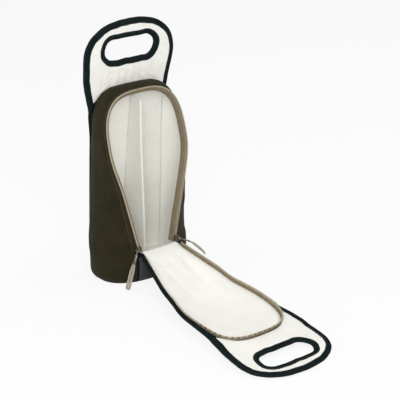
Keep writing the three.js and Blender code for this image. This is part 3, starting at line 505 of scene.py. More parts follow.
def lay(name, columns, rows, place, material, wear_and_highlight=None, closed=False, hold=None):
    """A sheet from a flat grid, each corner laid where place(across, along) puts it."""
    bm = bmesh.new()
    cloth_map = bm.loops.layers.uv.new("cloth")
    # Per-corner share of the paler colour: worn places, and the painted highlight on the zip tape.
    wear_and_highlight_share = bm.verts.layers.float.new("wear_and_highlight")
    held = bm.verts.layers.float.new("held") if hold else None
    bmesh.ops.create_grid(bm, x_segments=columns, y_segments=rows, size=0.5)
    spot = {v: (min(max(v.co.x + 0.5, 0), 1), min(max(v.co.y + 0.5, 0), 1)) for v in bm.verts}
    width = Line([place(t, 0.5) for t in steps(columns)]).length * MM
    length = Line([place(0.5, t) for t in steps(rows)]).length * MM
    for face in bm.faces:
        for loop in face.loops:
            across, along = spot[loop.vert]
            loop[cloth_map].uv = (across * width, along * length)
    for v, (across, along) in spot.items():
        v.co = place(across, along) * MM
        v[wear_and_highlight_share] = wear_and_highlight(across, along) if wear_and_highlight else 0.0
        if hold:
            v[held] = hold(across, along)
    if closed:
        bmesh.ops.remove_doubles(bm, verts=bm.verts[:], dist=1e-6)
    CUTS[name] = width, length, sum(face.calc_area() for face in bm.faces)
    return finish_mesh(name, bm, material)


def drape(piece, ease, most, facing, press=0.0):
    """Cloth simulation: a sheet cut a little large, held at its seams, finds its own soft folds.

    The folds stand out on the side that facing(place) points to, and hardly sink into the padding behind.
    """
    mesh = piece.data
    seams = piece.vertex_groups.new(name="seams")
    for i, item in enumerate(mesh.attributes["held"].data):
        seams.add([i], item.value, "REPLACE")
    cloth = piece.modifiers.new("drape", "CLOTH")
    ways = cloth.settings
    ways.quality, ways.mass, ways.air_damping = 6, 0.25, 4.0
    ways.tension_stiffness = ways.compression_stiffness = 12.0
    ways.shear_stiffness, ways.bending_stiffness = 6.0, 0.35
    ways.vertex_group_mass, ways.pin_stiffness = "seams", 1.0
    ways.shrink_min = -ease
    ways.effector_weights.gravity = 0.0
    if press:
        ways.use_pressure, ways.uniform_pressure_force = True, press
    cloth.collision_settings.use_collision = False
    cloth.point_cache.frame_start, cloth.point_cache.frame_end = 1, DRAPE_FRAMES
    for step in range(1, DRAPE_FRAMES + 1):
        scene.frame_set(step)
    settled = piece.evaluated_get(bpy.context.evaluated_depsgraph_get()).data
    normals = [v.normal.copy() for v in mesh.vertices]
    moves = [after.co - before.co for after, before in zip(settled.vertices, mesh.vertices)]
    for v, normal, move in zip(mesh.vertices, normals, moves):
        if normal.dot(facing(v.co)) < 0:
            normal.negate()
        move += normal * max(-DRAPE_SINK * MM - move.dot(normal), 0.0)
        v.co += move * min(1.0, most * MM / max(move.length, 1e-9))
    piece.modifiers.remove(cloth)
    piece.vertex_groups.clear()
    mesh.attributes.remove(mesh.attributes["held"])
    scene.frame_set(1)
    return piece


def thicken(piece, thickness, rounds=1):
    shell = piece.modifiers.new("thickness", "SOLIDIFY")
    shell.thickness, shell.offset = thickness * MM, 0.0
    if rounds:
        soft = piece.modifiers.new("soft edges", "SUBSURF")
        soft.levels = soft.render_levels = rounds
    return piece


def settle(piece, body, *nodes):
    """Puts a piece on its body, if one carries all of it, and in place of its CAD nodes."""
    if body:
        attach(piece, body)
    if nodes:
        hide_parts(*nodes)


def sheet(piece, thickness, body, nodes, rounds=1, panel=False):
    """A sheet of cloth, thickened and settled on its body; the size it was cut to is worked out, a rounded panel's
    from the rectangle round it, and then left unused.
    """
    settle(thicken(piece, thickness, rounds), body, *nodes)
    width, length, area = CUTS[piece.name]
    if panel:
        spots = [v.co for v in piece.data.vertices]
        reach = [max(p[i] for p in spots) - min(p[i] for p in spots) for i in range(3)]
        width, length = reach[0], math.hypot(reach[1], reach[2])
    if area > width * length:
        width = area / length


def pad(piece, thickness, body, node, rounds=0):
    settle(thicken(piece, thickness, rounds), body, node)


def even_wear(amount):
    return lambda across, along: amount


# Wall of the body: one strip from the base, over the roof and down again

def wall_station(front, back, angle, bulge):
    chord = back - front
    outward = Vector((math.cos(angle), 0, math.sin(angle)))
    first = front + chord * WALL_CURVE_SHARE + outward * bulge * WALL_FRONT_FULLNESS
    second = back - chord * WALL_CURVE_SHARE + outward * bulge * WALL_BACK_FULLNESS
    return front, first, second, back


def wall_bulge(along):
    if along < ZIP_SHOULDER:
        return between(WALL_BULGE_LOW, WALL_BULGE_SHOULDER, along / ZIP_SHOULDER)
    share = (along - ZIP_SHOULDER) / (ZIP_LENGTH - ZIP_SHOULDER)
    return between(WALL_BULGE_SHOULDER, WALL_BULGE_ROOF, share)


def wall_stations():
    """The wall's cross curves, from its right foot over the roof to its left foot."""
    edge = STRIP_HALF_WIDTH + GAP
    half = []
    for t in steps(WALL_FOOT_STEPS):
        z = between(CLOTH_FOOT, HINGE_Z - WALL_NOTCH_DROP, t**1.8)
        setback = between(WALL_FRONT_SETBACK, WALL_NOTCH_SETBACK, t**7)
        front = Vector((edge, oval_front(edge) + setback, z))
        half.append(wall_station(front, on_back(BACK_SEAM_HALF_WIDTH, z, -SEAM_GAP), 0, WALL_BULGE_LOW))
    for spot, angle in zip_half():
        front = on_front(spot.x - ZIP_SET_IN * math.cos(angle), spot.y - ZIP_SET_IN * math.sin(angle),
                         WALL_FRONT_EDGE)
        arch = superellipse(BACK_SEAM_HALF_WIDTH, ROOF_SEAM_HEIGHT - SHOULDER_Z, ROOF_SEAM_POWER, angle)
        back = on_back(arch.x, SHOULDER_Z + arch.y if angle > 0 else front.z, -SEAM_GAP)
        half.append(wall_station(front, back, angle, wall_bulge(spot.y)))
    return half + [tuple(Vector((-p.x, p.y, p.z)) for p in station) for station in reversed(half[:-1])]


WALL_STATIONS = wall_stations()
WALL_ROWS = len(WALL_STATIONS) - 1


def wall_point(across, along):
    return bezier(WALL_STATIONS[round(along * WALL_ROWS)], across)


def wall_normal(across, along):
    step, row = 0.5 / WALL_COLUMNS, 1 / WALL_ROWS
    over = wall_point(min(across + step, 1), along) - wall_point(max(across - step, 0), along)
    up = wall_point(across, min(along + row, 1)) - wall_point(across, max(along - row, 0))
    normal = over.cross(up)
    if min(along, 1 - along) < row / 2:
        normal.z = 0
    return normal.normalized()


def wall_slack(point, across, along):
    """Soft unevenness: broad hollows, and puckers close to the two seams."""
    hollow = noise.noise(Vector((point.x * 0.017 + 3.0, point.y * 0.017, point.z * 0.017)))
    run = along * WALL_SEAM_LENGTH
    pucker = 0.35 * math.sin(run / 1.7) * math.exp(-across * 12)
    pucker += 0.3 * math.sin(run / 2.1 + 1.0) * math.exp(-(1 - across) * 12)
    return (1.3 * math.sin(math.pi * across) * hollow
            + pucker * smooth(0.0, 0.03, across) * smooth(0.0, 0.03, 1 - across))


def on_wall(depth, lift=0.0):
    def place(across, along):
        point = wall_point(across, along)
        point.z += lift * (1 - smooth(0.0, 30.0, point.z))
        inset = depth + foot_inset(point.z)
        return point + wall_normal(across, along) * (wall_slack(point, across, along) - inset)
    return place


def wall_wear(across, along):
    foot = 1 - smooth(0.0, 0.035, min(along, 1 - along))
    seam = 0.5 * (1 - smooth(0.0, 0.05, across)) + 0.35 * (1 - smooth(0.0, 0.05, 1 - across))
    return 0.55 * foot + seam


def wall_hold(across, along):
    return 1.0 - smooth(0.0, 0.16, min(across, 1 - across)) * smooth(0.0, 0.04, min(along, 1 - along))


wall_cloth = lay("wall_cloth", WALL_COLUMNS, WALL_ROWS, on_wall(OUTER / 2), OLIVE, wall_wear, hold=wall_hold)
sheet(drape(wall_cloth, 0.012, 1.6, lambda place: place - TARGET, 0.4), OUTER, BODY, ["wall_outer"])
pad(lay("wall_padding", WALL_COLUMNS, WALL_ROWS, on_wall(FOAM_MIDDLE, PADDING_LIFT), FOAMED), FOAM, BODY, "wall_foam")
sheet(lay("wall_lining_cloth", WALL_COLUMNS, WALL_ROWS, on_wall(LINING_MIDDLE, PADDING_LIFT), WHITE), LINING, BODY,
      ["wall_lining"], 0)


# Base, with a round welt sewn into its seam

BASE_EDGE = foot_inset(CLOTH_FOOT)


def on_oval(inset, height, crown=0.0):
    def place(across, along):
        x, y = oval(along, inset)
        return Vector((x * across, y * across, height + crown * (1 - across**2)))
    return place


def on_welt(across, along):
    x, y = oval(along, BASE_EDGE + 0.3)
    turn = across * 2 * math.pi
    out = Vector((x, y * 2.0, 0)).normalized()
    return (Vector((x, y, WELT_HEIGHT)) + out * WELT_RADIUS * math.cos(turn)
            + Vector((0, 0, WELT_RADIUS * math.sin(turn))))


sheet(lay("base_cloth", 10, BASE_STEPS, on_oval(BASE_EDGE + 0.8, OUTER / 2), OLIVE,
          lambda across, along: smooth(0.8, 1.0, across), True),
      OUTER, BODY, ["base_outer"], panel=True)
ON_BASE_PADDING = on_oval(BASE_PADDING_INSET, BASE_PADDING_HEIGHT)
ON_BASE_LINING = on_oval(BASE_LINING_INSET, BASE_LINING_HEIGHT, BASE_LINING_CROWN)
pad(lay("base_padding", 8, BASE_STEPS, ON_BASE_PADDING, FOAMED, None, True), FOAM, BODY, "base_foam")
sheet(lay("base_lining_cloth", 10, BASE_STEPS, ON_BASE_LINING, WHITE, None, True), LINING, BODY, ["base_lining"],
      0, True)
settle(lay("base_welt", 8, 160, on_welt, OLIVE, even_wear(0.35), True), BODY)


# Back panel, its lining and its grip

def cloth_hollow(x, z, seed, size):
    return size * noise.noise(Vector((x * 0.014 + seed, z * 0.012, seed)))


def back_sheet(surface, half, foot, top, depth):
    def place(across, along):
        middle = between(foot, top(0), along**1.3)
        x = between(-1, 1, across) * half(middle)
        z = between(foot, top(x), along**1.3)
        soft = math.sin(math.pi * across) * math.sin(math.pi * min(along * 1.2, 1.0))
        return surface(x, z, depth - foot_inset(z) + cloth_hollow(x, z, 7.0, 1.2) * soft)
    return place


def roof_height(x):
    """Height of the seam between the roof and the back panel."""
    share = 1 - min(abs(x) / BACK_SEAM_HALF_WIDTH, 1.0) ** ROOF_SEAM_POWER
    return SHOULDER_Z + (ROOF_SEAM_HEIGHT - SHOULDER_Z) * share ** (1 / ROOF_SEAM_POWER)


def back_lining_half(z):
    return between(BACK_LINING_WIDE, BACK_LINING_NARROW, smooth(150.0, GRIP_START, z))


def back_cloth_half(z):
    return BACK_HALF_WIDTH - SEAM_DRAW * (1 - smooth(*NECK_TURN, z))


def back_wear(across, along):
    return 0.5 * (1 - smooth(0.0, 0.04, along)) + 0.3 * smooth(0.94, 1.0, abs(2 * across - 1))


ON_BACK_CLOTH = back_sheet(on_grip, back_cloth_half, CLOTH_FOOT, lambda x: GRIP_START - GAP, OUTER / 2)
ON_BACK_PADDING = back_sheet(on_back, lambda z: BACK_PADDING_HALF_WIDTH, BACK_PADDING_FOOT,
                             lambda x: BACK_PADDING_TOP, -SEAM_GAP - FOAM / 2)
ON_BACK_LINING = back_sheet(on_back, back_lining_half, BACK_LINING_FOOT,
                            lambda x: roof_height(x) - BACK_LINING_DROP, -SEAM_GAP - FOAM - GAP - LINING / 2)
sheet(lay("back_cloth", 34, 60, ON_BACK_CLOTH, OLIVE, back_wear), OUTER, BODY, ["back_panel_outer"])
pad(lay("back_padding", 20, 40, ON_BACK_PADDING, FOAMED), FOAM, BODY, "back_panel_foam")
sheet(lay("back_lining_cloth", 24, 44, ON_BACK_LINING, WHITE), LINING, BODY, ["back_panel_lining"],
      0)

RING_STEPS, RING_ROWS = 168, 14


def ray_to(outline, centre, direction):
    """Where a ray from the centre meets a closed outline, at its nearest crossing."""
    best = None
    for a, b in zip(outline, outline[1:] + outline[:1]):
        edge, start = b - a, a - centre
        cross = direction.x * edge.y - direction.y * edge.x
        if abs(cross) < 1e-9:
            continue
        far = (start.x * edge.y - start.y * edge.x) / cross
        share = (start.x * direction.y - start.y * direction.x) / cross
        if far > 0 and -1e-9 <= share <= 1 + 1e-9 and (best is None or far < best):
            best = far
    return centre + direction * best


def ring_sheet(surface, outline, middle, form):
    """A sheet round a hand hole: across goes round the hole, along goes out to the outline."""
    centre = Vector((0, middle))
    hole = Line(hand_hole(middle), closed=True)
    starts = [hole.at(i / RING_STEPS) for i in range(RING_STEPS)]
    ends = [ray_to(outline, centre, (p - centre).normalized()) for p in starts]

    def flat(across, along):
        i = round(across * RING_STEPS) % RING_STEPS
        return starts[i].lerp(ends[i], along)

    def place(across, along):
        spot = flat(across, along)
        return surface(spot.x, spot.y, form(spot.x, spot.y, along))
    place.spot = flat
    return place


def ring(name, place, material, rows=RING_ROWS, hold=None):
    return lay(name, RING_STEPS, rows, place, material, None, True, hold)


def level(depth):
    return lambda x, z, along: depth


def back_face_outline():
    sides = above(BACK_EDGE, GRIP_FACE_CORNER)
    reach = sides[0].x
    foot = [Vector((x, max(roof_height(x) - 1.5, GRIP_FACE_CORNER)))
            for x in (between(-reach, reach, t) for t in steps(60))]
    return mirrored(sides) + foot[1:-1]


def gathers(x, z):
    """Upright tucks that start at the roof seam and fade out towards the hand hole."""
    fade = (1 - smooth(322.0, 372.0, z - 7.0 * math.sin(x / 9.0))) * (1 - smooth(48.0, 64.0, abs(x)))
    wave = math.sin(x / 2.6 + 0.8 * math.sin(x / 17.0)) + 0.9 * math.sin(x / 4.7 + 1.3 + z / 60.0)
    return fade * (1.7 * wave + 0.8 * math.sin(x / 11.0 + z / 35.0))


def back_face_form(x, z, along):
    held = math.sin(math.pi * min(max(along, 0.0), 1.0)) ** 0.35
    return -GRIP_STACK + LINING / 2 - held * (0.9 + gathers(x, z)) + 0.4 * held * cloth_hollow(x, z, 2.0, 1.0)


def back_face_hold(across, along):
    """The facing is held under both bindings and at the roof seam."""
    start, end = (ON_BACK_FACE.spot(across, t) for t in (0.0, 1.0))
    span = (end - start).length
    hole = HOLE_BINDING_REACH + 1.0
    seam = 1.0 if end.y < GRIP_BOUND_FOOT and abs(end.x) < BACK_SEAM_HALF_WIDTH else BINDING_REACH + 1.0
    return 1.0 - smooth(hole, hole + 5.0, along * span) * smooth(seam, seam + 5.0, (1 - along) * span)


BACK_GRIP, BACK_FACE = mirrored(above(BACK_EDGE, GRIP_START)), back_face_outline()
ON_BACK_FACE = ring_sheet(on_grip, BACK_FACE, HOLE_ON_BACK, back_face_form)
sheet(ring("back_grip_cloth", ring_sheet(on_grip, BACK_GRIP, HOLE_ON_BACK, level(OUTER / 2)), OLIVE), OUTER, BODY,
      ["back_grip_outer"], panel=True)
pad(ring("back_grip_pad", ring_sheet(on_grip, BACK_FACE, HOLE_ON_BACK, level(-GAP - GRIP_CORE / 2)), FOAMED),
    BACK_GRIP_FOAM, BODY, "back_grip_core")
back_facing = ring("back_grip_facing_cloth", ON_BACK_FACE, WHITE, RING_ROWS * 2, back_face_hold)
sheet(drape(back_facing, 0.03, 0.7, lambda place: Vector((0, -1, 0))), LINING, BODY, ["back_grip_facing"],
      panel=True)


# Bound edges

def wrap(reach, low, high, nose=1.25):
    """Section of a binding folded over an edge, from the high face to the low one: (outwards, depth)."""
    off, puff = 0.65, 0.95
    return Line((
        (-reach, high + off), (-reach * 0.8, high + puff), (-reach * 0.4, high + puff), (-0.6, high + off),
        (nose - 0.55, high - 0.1), (nose, (high + low) / 2), (nose - 0.55, low + 0.1),
        (-0.6, low - off), (-reach * 0.4, low - puff), (-reach * 0.8, low - puff), (-reach, low - off)))


def sewn_along(surface, line, section):
    """A tape along a line on a surface; section(share, spot) gives its reach outwards and its depth."""
    def place(across, along):
        spot = line.at(along)
        reach, depth = section(across, spot)
        spot = spot + line.outward(along) * reach
        return surface(spot.x, spot.y, depth)
    return place


def fold_wear(across, along):
    return 0.25 * smooth(0.3, 0.5, across) * (1 - smooth(0.5, 0.7, across))


def bound(name, surface, line, section, rows, closed=False):
    return lay(name, 20, rows, sewn_along(surface, line, section), BINDING, fold_wear, closed)


def waver(spot, size, seed, share, at_nose):
    """Uneven sewing, less of it at the nose of the binding."""
    drift = size * noise.noise(Vector((spot.x * 0.07 + seed, spot.y * 0.07, seed)))
    return drift * (1 if abs(share - 0.5) > 0.2 else at_nose)


SEAM_BAR = Line(((0.4, -1.9), (0.8, -2.0), (1.3, -1.6), (1.5, -0.6), (1.5, 0.6), (1.5, 1.4),
                 (1.3, 2.0), (0.6, 2.3), (-1.5, 2.2), (-4.0, 2.1), (-6.0, 1.9)))
BACK_WRAP = Line(wrap(BINDING_REACH, -GRIP_STACK, OUTER).points[::-1])


def back_binding_section(share, spot):
    turn, foot = smooth(*NECK_TURN, spot.y), foot_inset(spot.y)
    point = SEAM_BAR.at(share).lerp(BACK_WRAP.at(share), turn)
    reach = point.x + waver(spot, 1.3 * turn, 4.0, share, 0.5) - SEAM_DRAW * (1 - turn)
    return reach - 0.75 * foot, point.y - 0.6 * foot


def hole_section(low, high):
    section = wrap(HOLE_BINDING_REACH, low, high, HOLE_BINDING_NOSE)

    def at(share, spot):
        point = section.at(share)
        return point.x + waver(spot, 1.8, 9.0, share, 0.8), point.y
    return at


BACK_HOLE, FLAP_HOLE = (Line(hand_hole(middle), closed=True) for middle in (HOLE_ON_BACK, HOLE_ON_FLAP))
sheet(bound("back_edge_binding", on_grip, Line(mirrored(BACK_EDGE)), back_binding_section, 420), BINDING_CLOTH, BODY,
      ["back_grip_binding", "right_seam_binding", "left_seam_binding"])
sheet(bound("back_hole_binding_tape", on_grip, BACK_HOLE, hole_section(-GRIP_STACK, OUTER), 150, True), BINDING_CLOTH,
      BODY, ["back_hole_binding"])


# Divider between the two compartments

DIVIDER_TOP, DIVIDER_FOOT, DIVIDER_THICKNESS = 312.0, 9.9, 3.6
DIVIDER_FRONT_FOOT, DIVIDER_FRONT_TOP = -19.0, -5.0


def on_divider(across, along):
    z = between(DIVIDER_FOOT, DIVIDER_TOP, along)
    front = between(DIVIDER_FRONT_FOOT, DIVIDER_FRONT_TOP, along)
    y = between(front, back_y(0, z) - SEAM_GAP - FOAM - 2 * GAP - LINING - 0.6, across)
    lean = 1.3 * math.sin(along * 5.0 + 0.6) * (1 - across) * math.sin(math.pi * along)
    return Vector((lean, y, z - 4.0 * (1 - across) * smooth(0.9, 1.0, along)))


pad(lay("divider_pad", 16, 70, on_divider, WHITE), DIVIDER_THICKNESS, BODY, "divider", 1)


# Front panel: one cloth and one lining from the base, over the fold and on to the flap

def fold_path(x, along, strip_depth, flap_depth, strip_end, flap_start, strip_pull, flap_pull):
    """Below the fold the panel follows the base's oval, past it the flap, with a soft bend between."""
    if along <= strip_end:
        z = HINGE_Z + along
        return Vector((x, oval_front(x) + strip_depth + foot_inset(z), z))
    if along >= flap_start:
        return on_flap(x, along, flap_depth)
    low = Vector((x, oval_front(x) + strip_depth, HINGE_Z + strip_end))
    high = on_flap(x, flap_start, flap_depth)
    curve = (low, low + Vector((0, 0, strip_pull)), high - OPEN_ALONG * flap_pull, high)
    return bezier(curve, (along - strip_end) / (flap_start - strip_end))


def cloth_half(along):
    if along < 0:
        return between(STRIP_HALF_WIDTH - 0.4, ZIP_FOOT + 0.2, smooth(-14.0, 0.0, along))
    return half_width(FLAP_EDGE, max(along, 0.01)) + 0.1


def on_front_cloth(across, along):
    line = between(CLOTH_FOOT - HINGE_Z, FLAP_GRIP_START - GAP, along)
    x = between(-1, 1, across) * cloth_half(line)
    point = fold_path(x, line, OUTER / 2, -WALL + OUTER / 2, -13.0, 9.0, 4.0, 5.0)
    soft = math.sin(math.pi * across) * smooth(10.0, 60.0, line)
    return point + OPEN_INWARD * cloth_hollow(x, line, 12.0, 0.5) * soft


LINING_SET_IN, SEAM_DIP, LINING_FOOT, LINING_FOOT_HALF_WIDTH, DOME_SPREAD = 1.9, 2.2, -50.0, 34.5, 46
LINING_HALF = shrunk(ZIP_HALF, LINING_SET_IN)


def lining_outline():
    """Edges of the front lining: its right side and the dome."""
    split = next(i for i, p in enumerate(LINING_HALF)
                 if p.x < LINING_HALF[-1].x + DOME_SPREAD and p.y > ZIP_SHOULDER)
    strip = [Vector((LINING_FOOT_HALF_WIDTH, between(LINING_FOOT, -2.0, t))) for t in steps(10)]
    flap = [Vector((p.x, max(p.y, 0.0))) for p in LINING_HALF]
    dome = [Vector((-p.x, p.y)) for p in flap[split:]] + flap[split:][::-1][1:]
    return Line(strip + flap[:split + 1]), Line(dome)


LINING_RIGHT, LINING_DOME = lining_outline()


def lining_spot(across, along):
    """A patch between the foot, the sides and the dome."""
    right = LINING_RIGHT.at(along)
    foot_half = LINING_RIGHT.at(0).x
    foot = Vector((between(-foot_half, foot_half, across), LINING_FOOT))
    sides = Vector((-right.x, right.y)).lerp(right, across)
    ends = foot.lerp(LINING_DOME.at(across), along)
    return sides + ends - foot.lerp(LINING_DOME.at(0).lerp(LINING_DOME.at(1), across), along)


def on_front_lining(across, along):
    x, line = lining_spot(across, along)
    point = fold_path(x, line, LINING_MIDDLE, -LINING / 2, -7.0, 12.0, 9.0, 9.0)
    side = 2 * min(across, 1 - across) * LINING_RIGHT.at(along).x
    edge = min(side, (1 - along) * LINING_RIGHT.length)
    crown = smooth(0.0, 24.0, edge) * (0.6 + cloth_hollow(x, line, 21.0, 0.8))
    dip = SEAM_DIP * (1 - smooth(0.0, 10.0, edge)) * smooth(1.0, 16.0, line)
    fold = smooth(6.0, 26.0, line) * (1 - smooth(70.0, 165.0, line)) * smooth(0.0, 14.0, edge)
    crown += fold * (1.5 + math.sin(x / 6.5 + line / 48.0) + 0.6 * math.sin(x / 3.6 - line / 60.0))
    return point + OPEN_INWARD * (smooth(6.0, 50.0, line) * crown - dip)


def lining_hold(across, along):
    return 1.0 - smooth(0.0, 0.12, min(across, 1 - across)) * smooth(0.2, 0.3, along) * (1 - smooth(0.96, 1.0, along))


front_cloth = lay("front_panel_cloth", 30, 110, on_front_cloth, CHARCOAL,
                  lambda across, along: 0.4 * (1 - smooth(0.0, 0.04, along)))
front_lining = lay("front_lining_cloth", 40, 120, on_front_lining, WHITE, hold=lining_hold)
drape(front_lining, 0.012, 1.0, lambda place: OPEN_INWARD)
sheet(front_cloth, OUTER, None, ["front_strip_outer", "flap_outer", "hinge_tape"])
sheet(front_lining, LINING, None, ["front_strip_lining", "flap_lining"])
for piece, start_y, end_y in ((front_cloth, -60.7, -80.0), (front_lining, -57.5, -78.0)):
    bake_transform(piece)

STRIP_PADDING_HALF_WIDTH, STRIP_PADDING_FOOT, STRIP_PADDING_TOP = 35.0, 3.0, 52.0
FLAP_PADDING_START, FLAP_PADDING_END, FLAP_PADDING_INSET = 4.0, 252.0, 11.0


def on_strip_padding(across, along):
    x = between(-STRIP_PADDING_HALF_WIDTH, STRIP_PADDING_HALF_WIDTH, across)
    z = between(STRIP_PADDING_FOOT, STRIP_PADDING_TOP, along)
    return Vector((x, oval_front(x) + FOAM_MIDDLE + foot_inset(z), z))


def on_flap_padding(across, along):
    line = between(FLAP_PADDING_START, FLAP_PADDING_END, along)
    half = half_width(LINING_HALF, line) - FLAP_PADDING_INSET
    return on_flap(between(-1, 1, across) * half, line, -WALL + FOAM_MIDDLE)


pad(lay("strip_padding", 12, 10, on_strip_padding, FOAMED), FOAM, BODY, "front_strip_foam")
pad(lay("flap_padding", 16, 50, on_flap_padding, FOAMED), FLAP_FOAM, FLAP, "flap_foam")


# Grip of the flap

def grip_sink(along_flap):
    """The flap's grip holds less padding than the panel, so its lined face sinks beyond the dome of the zip."""
    return GRIP_SINK * smooth(262.0, 300.0, along_flap)


def flap_face_form(x, along_flap, along):
    held = math.sin(math.pi * min(max(along, 0.0), 1.0)) ** 0.6
    return -LINING / 2 + held * (0.7 + cloth_hollow(x, along_flap, 31.0, 0.9)) - grip_sink(along_flap)


def flap_pad_form(x, along_flap, along):
    return -WALL + FOAM_MIDDLE - grip_sink(along_flap) / 2


FLAP_GRIP = mirrored(above(FLAP_EDGE, FLAP_GRIP_START))
FLAP_FACE = FLAP_GRIP + mirrored(shrunk(above(ZIP_HALF, FLAP_GRIP_START), -1.0))[::-1][1:-1]
sheet(ring("flap_grip_cloth", ring_sheet(on_flap, FLAP_GRIP, HOLE_ON_FLAP, level(-WALL + OUTER / 2)), CHARCOAL), OUTER,
      FLAP, ["flap_grip_outer"], panel=True)
pad(ring("flap_grip_pad", ring_sheet(on_flap, FLAP_FACE, HOLE_ON_FLAP, flap_pad_form), FOAMED), FLAP_GRIP_FOAM,
    FLAP, "flap_grip_core")
sheet(ring("flap_grip_facing_cloth", ring_sheet(on_flap, FLAP_FACE, HOLE_ON_FLAP, flap_face_form), WHITE), LINING,
      FLAP, ["flap_grip_facing"], panel=True)

RIM_WRAP = Line(((0.2, 4.1), (0.2, 1.6), (0.4, 0.5), (1.2, -0.6), (1.7, -2.2), (1.9, -4.5),
                 (1.7, -5.8), (1.0, -7.1), (-1.5, -7.6), (-4.5, -7.5), (-8.0, -7.2)))
FLAP_WRAP, FLAP_BINDING_START = wrap(BINDING_REACH, -WALL, 0.0), 4.0


def flap_binding_section(share, spot):
    turn = smooth(*DOME_TURN, spot.y)
    point = RIM_WRAP.at(share).lerp(FLAP_WRAP.at(share), turn)
    drop = 1.4 * smooth(80.0, 150.0, spot.y) * (1 - smooth(0.1, 0.35, share)) * (1 - turn)
    drop += grip_sink(spot.y) * (1 - smooth(0.4, 0.6, share))
    return point.x + waver(spot, 1.5 * turn, 14.0, share, 0.6), point.y - drop


FLAP_BOUND = Line(mirrored(above(FLAP_EDGE, FLAP_BINDING_START)))
sheet(bound("flap_edge_binding", on_flap, FLAP_BOUND, flap_binding_section, 420),
      BINDING_CLOTH, FLAP, ["flap_grip_binding", "flap_right_binding", "flap_left_binding"])
sheet(bound("flap_hole_binding_tape", on_flap, FLAP_HOLE, hole_section(-WALL, -GRIP_SINK), 150, True), BINDING_CLOTH,
      FLAP, ["flap_hole_binding"])


# Zip: tapes, tooth chains, and the hem of the wall cloth turned forwards over the outside of the tape

TOOTH_PITCH, TOOTH_LENGTH, TOOTH_WIDTH, TOOTH_ALONG, TOOTH_BEVEL = 2.0, 1.9, 2.2, 1.15, 0.32
BODY_TEETH_DEPTH, FLAP_TEETH_LOW, FLAP_TEETH_HIGH = 6.3, 2.2, 4.0
BODY_ZIP_START, FLAP_ZIP_START, TACK_START = 0.2, 7.0, 205.0


def zip_line(start):
    return Line(mirrored(above(ZIP_HALF, start)))


def zip_section(*points):
    line = Line(points)
    return lambda share, spot: (line.at(share).x - ZIP_SET_IN, line.at(share).y)


def block(bm, middle, *sides):
    """A small block round a place, in millimetres, with three sides given as vectors."""
    axes = Matrix(sides).transposed().to_4x4()
    bmesh.ops.create_cube(bm, size=MM, matrix=Matrix.Translation(middle * MM) @ axes)


def bevel(bm, edges, offset, segments):
    bmesh.ops.bevel(bm, geom=edges, offset=offset, offset_type="OFFSET", affect="EDGES", segments=segments,
                    profile=0.5, material=-1)


def zip_chain(name, surface, line, height, node, body):
    """One row of teeth, each a small bevelled block set across the tape's edge at height(along)."""
    bm = bmesh.new()
    count = int(line.length / TOOTH_PITCH)
    for i in range(count):
        share = (i + 0.5) / count
        spot, out = line.at(share), line.outward(share)
        low, spot = height(spot.y), spot - out * ZIP_SET_IN
        foot = surface(spot.x, spot.y, low)
        side = (surface(spot.x + out.x, spot.y + out.y, low) - foot).normalized()
        deep = (surface(spot.x, spot.y, low + 1) - foot).normalized()
        block(bm, surface(spot.x, spot.y, low + TOOTH_LENGTH / 2), side * TOOTH_WIDTH, deep * TOOTH_LENGTH,
              side.cross(deep) * TOOTH_ALONG)
    bevel(bm, bm.edges[:], TOOTH_BEVEL * MM, 1)
    settle(finish_mesh(name, bm, TEETH), body, node)


# Painted highlight: the zip tape turns to its paler edge colour towards its upper edge, as if lit there.
def tape_highlight(across, along):
    return smooth(0.4, 0.95, across)


BODY_ZIP, FLAP_ZIP = zip_line(BODY_ZIP_START), zip_line(FLAP_ZIP_START)
BODY_TAPE = zip_section((-7.4, 17.5), (-7.2, 14.0), (-6.2, 12.7), (-3.5, 12.5), (-0.8, 12.3), (0.3, 11.2), (0.3, 9.8),
                        (0.1, 8.5), (0.0, 7.2))
FLAP_TAPE = zip_section((-2.8, -2.2), (-1.9, -2.1), (-1.1, -1.8), (-0.5, -1.2), (-0.1, -0.4), (0.0, 0.8), (0.0, 2.4),
                        (0.0, 4.15))
WALL_HEM = zip_section((-0.6, 14.2), (0.5, 12.8), (1.1, 11.4), (1.15, 10.2), (0.75, 9.4))
sheet(lay("body_zip_tape_cloth", 10, 300, sewn_along(on_front, BODY_ZIP, BODY_TAPE), TAPE, tape_highlight), ZIP_CLOTH, BODY,
      ["body_zip_tape"])
flap_tape = lay("flap_zip_tape_cloth", 10, 300, sewn_along(on_flap, FLAP_ZIP, FLAP_TAPE), TAPE, tape_highlight)
settle(thicken(flap_tape, ZIP_CLOTH), FLAP, "flap_zip_tape")
zip_chain("body_zip_coil", on_front, BODY_ZIP, lambda along: BODY_TEETH_DEPTH, "body_zip_teeth", BODY)
zip_chain("flap_zip_coil", on_flap, FLAP_ZIP,
          lambda along: between(FLAP_TEETH_LOW, FLAP_TEETH_HIGH, smooth(94.0, 150.0, along)), "flap_zip_teeth", FLAP)
wall_hem = lay("wall_zip_hem", 6, 260, sewn_along(on_front, BODY_ZIP, WALL_HEM), OLIVE,
               lambda across, along: 0.4 * smooth(0.6, 1.0, across))
settle(thicken(wall_hem, HEM_CLOTH), BODY)


# Black cloth patches over the two ends of the zip, from the strip's top corners to the wall; their black is painted
# shade for the dark gap between each pull and the strip

PATCH_FOOT, PATCH_TOP, PATCH_WALL_X = 2.4, 59.4, 42.4


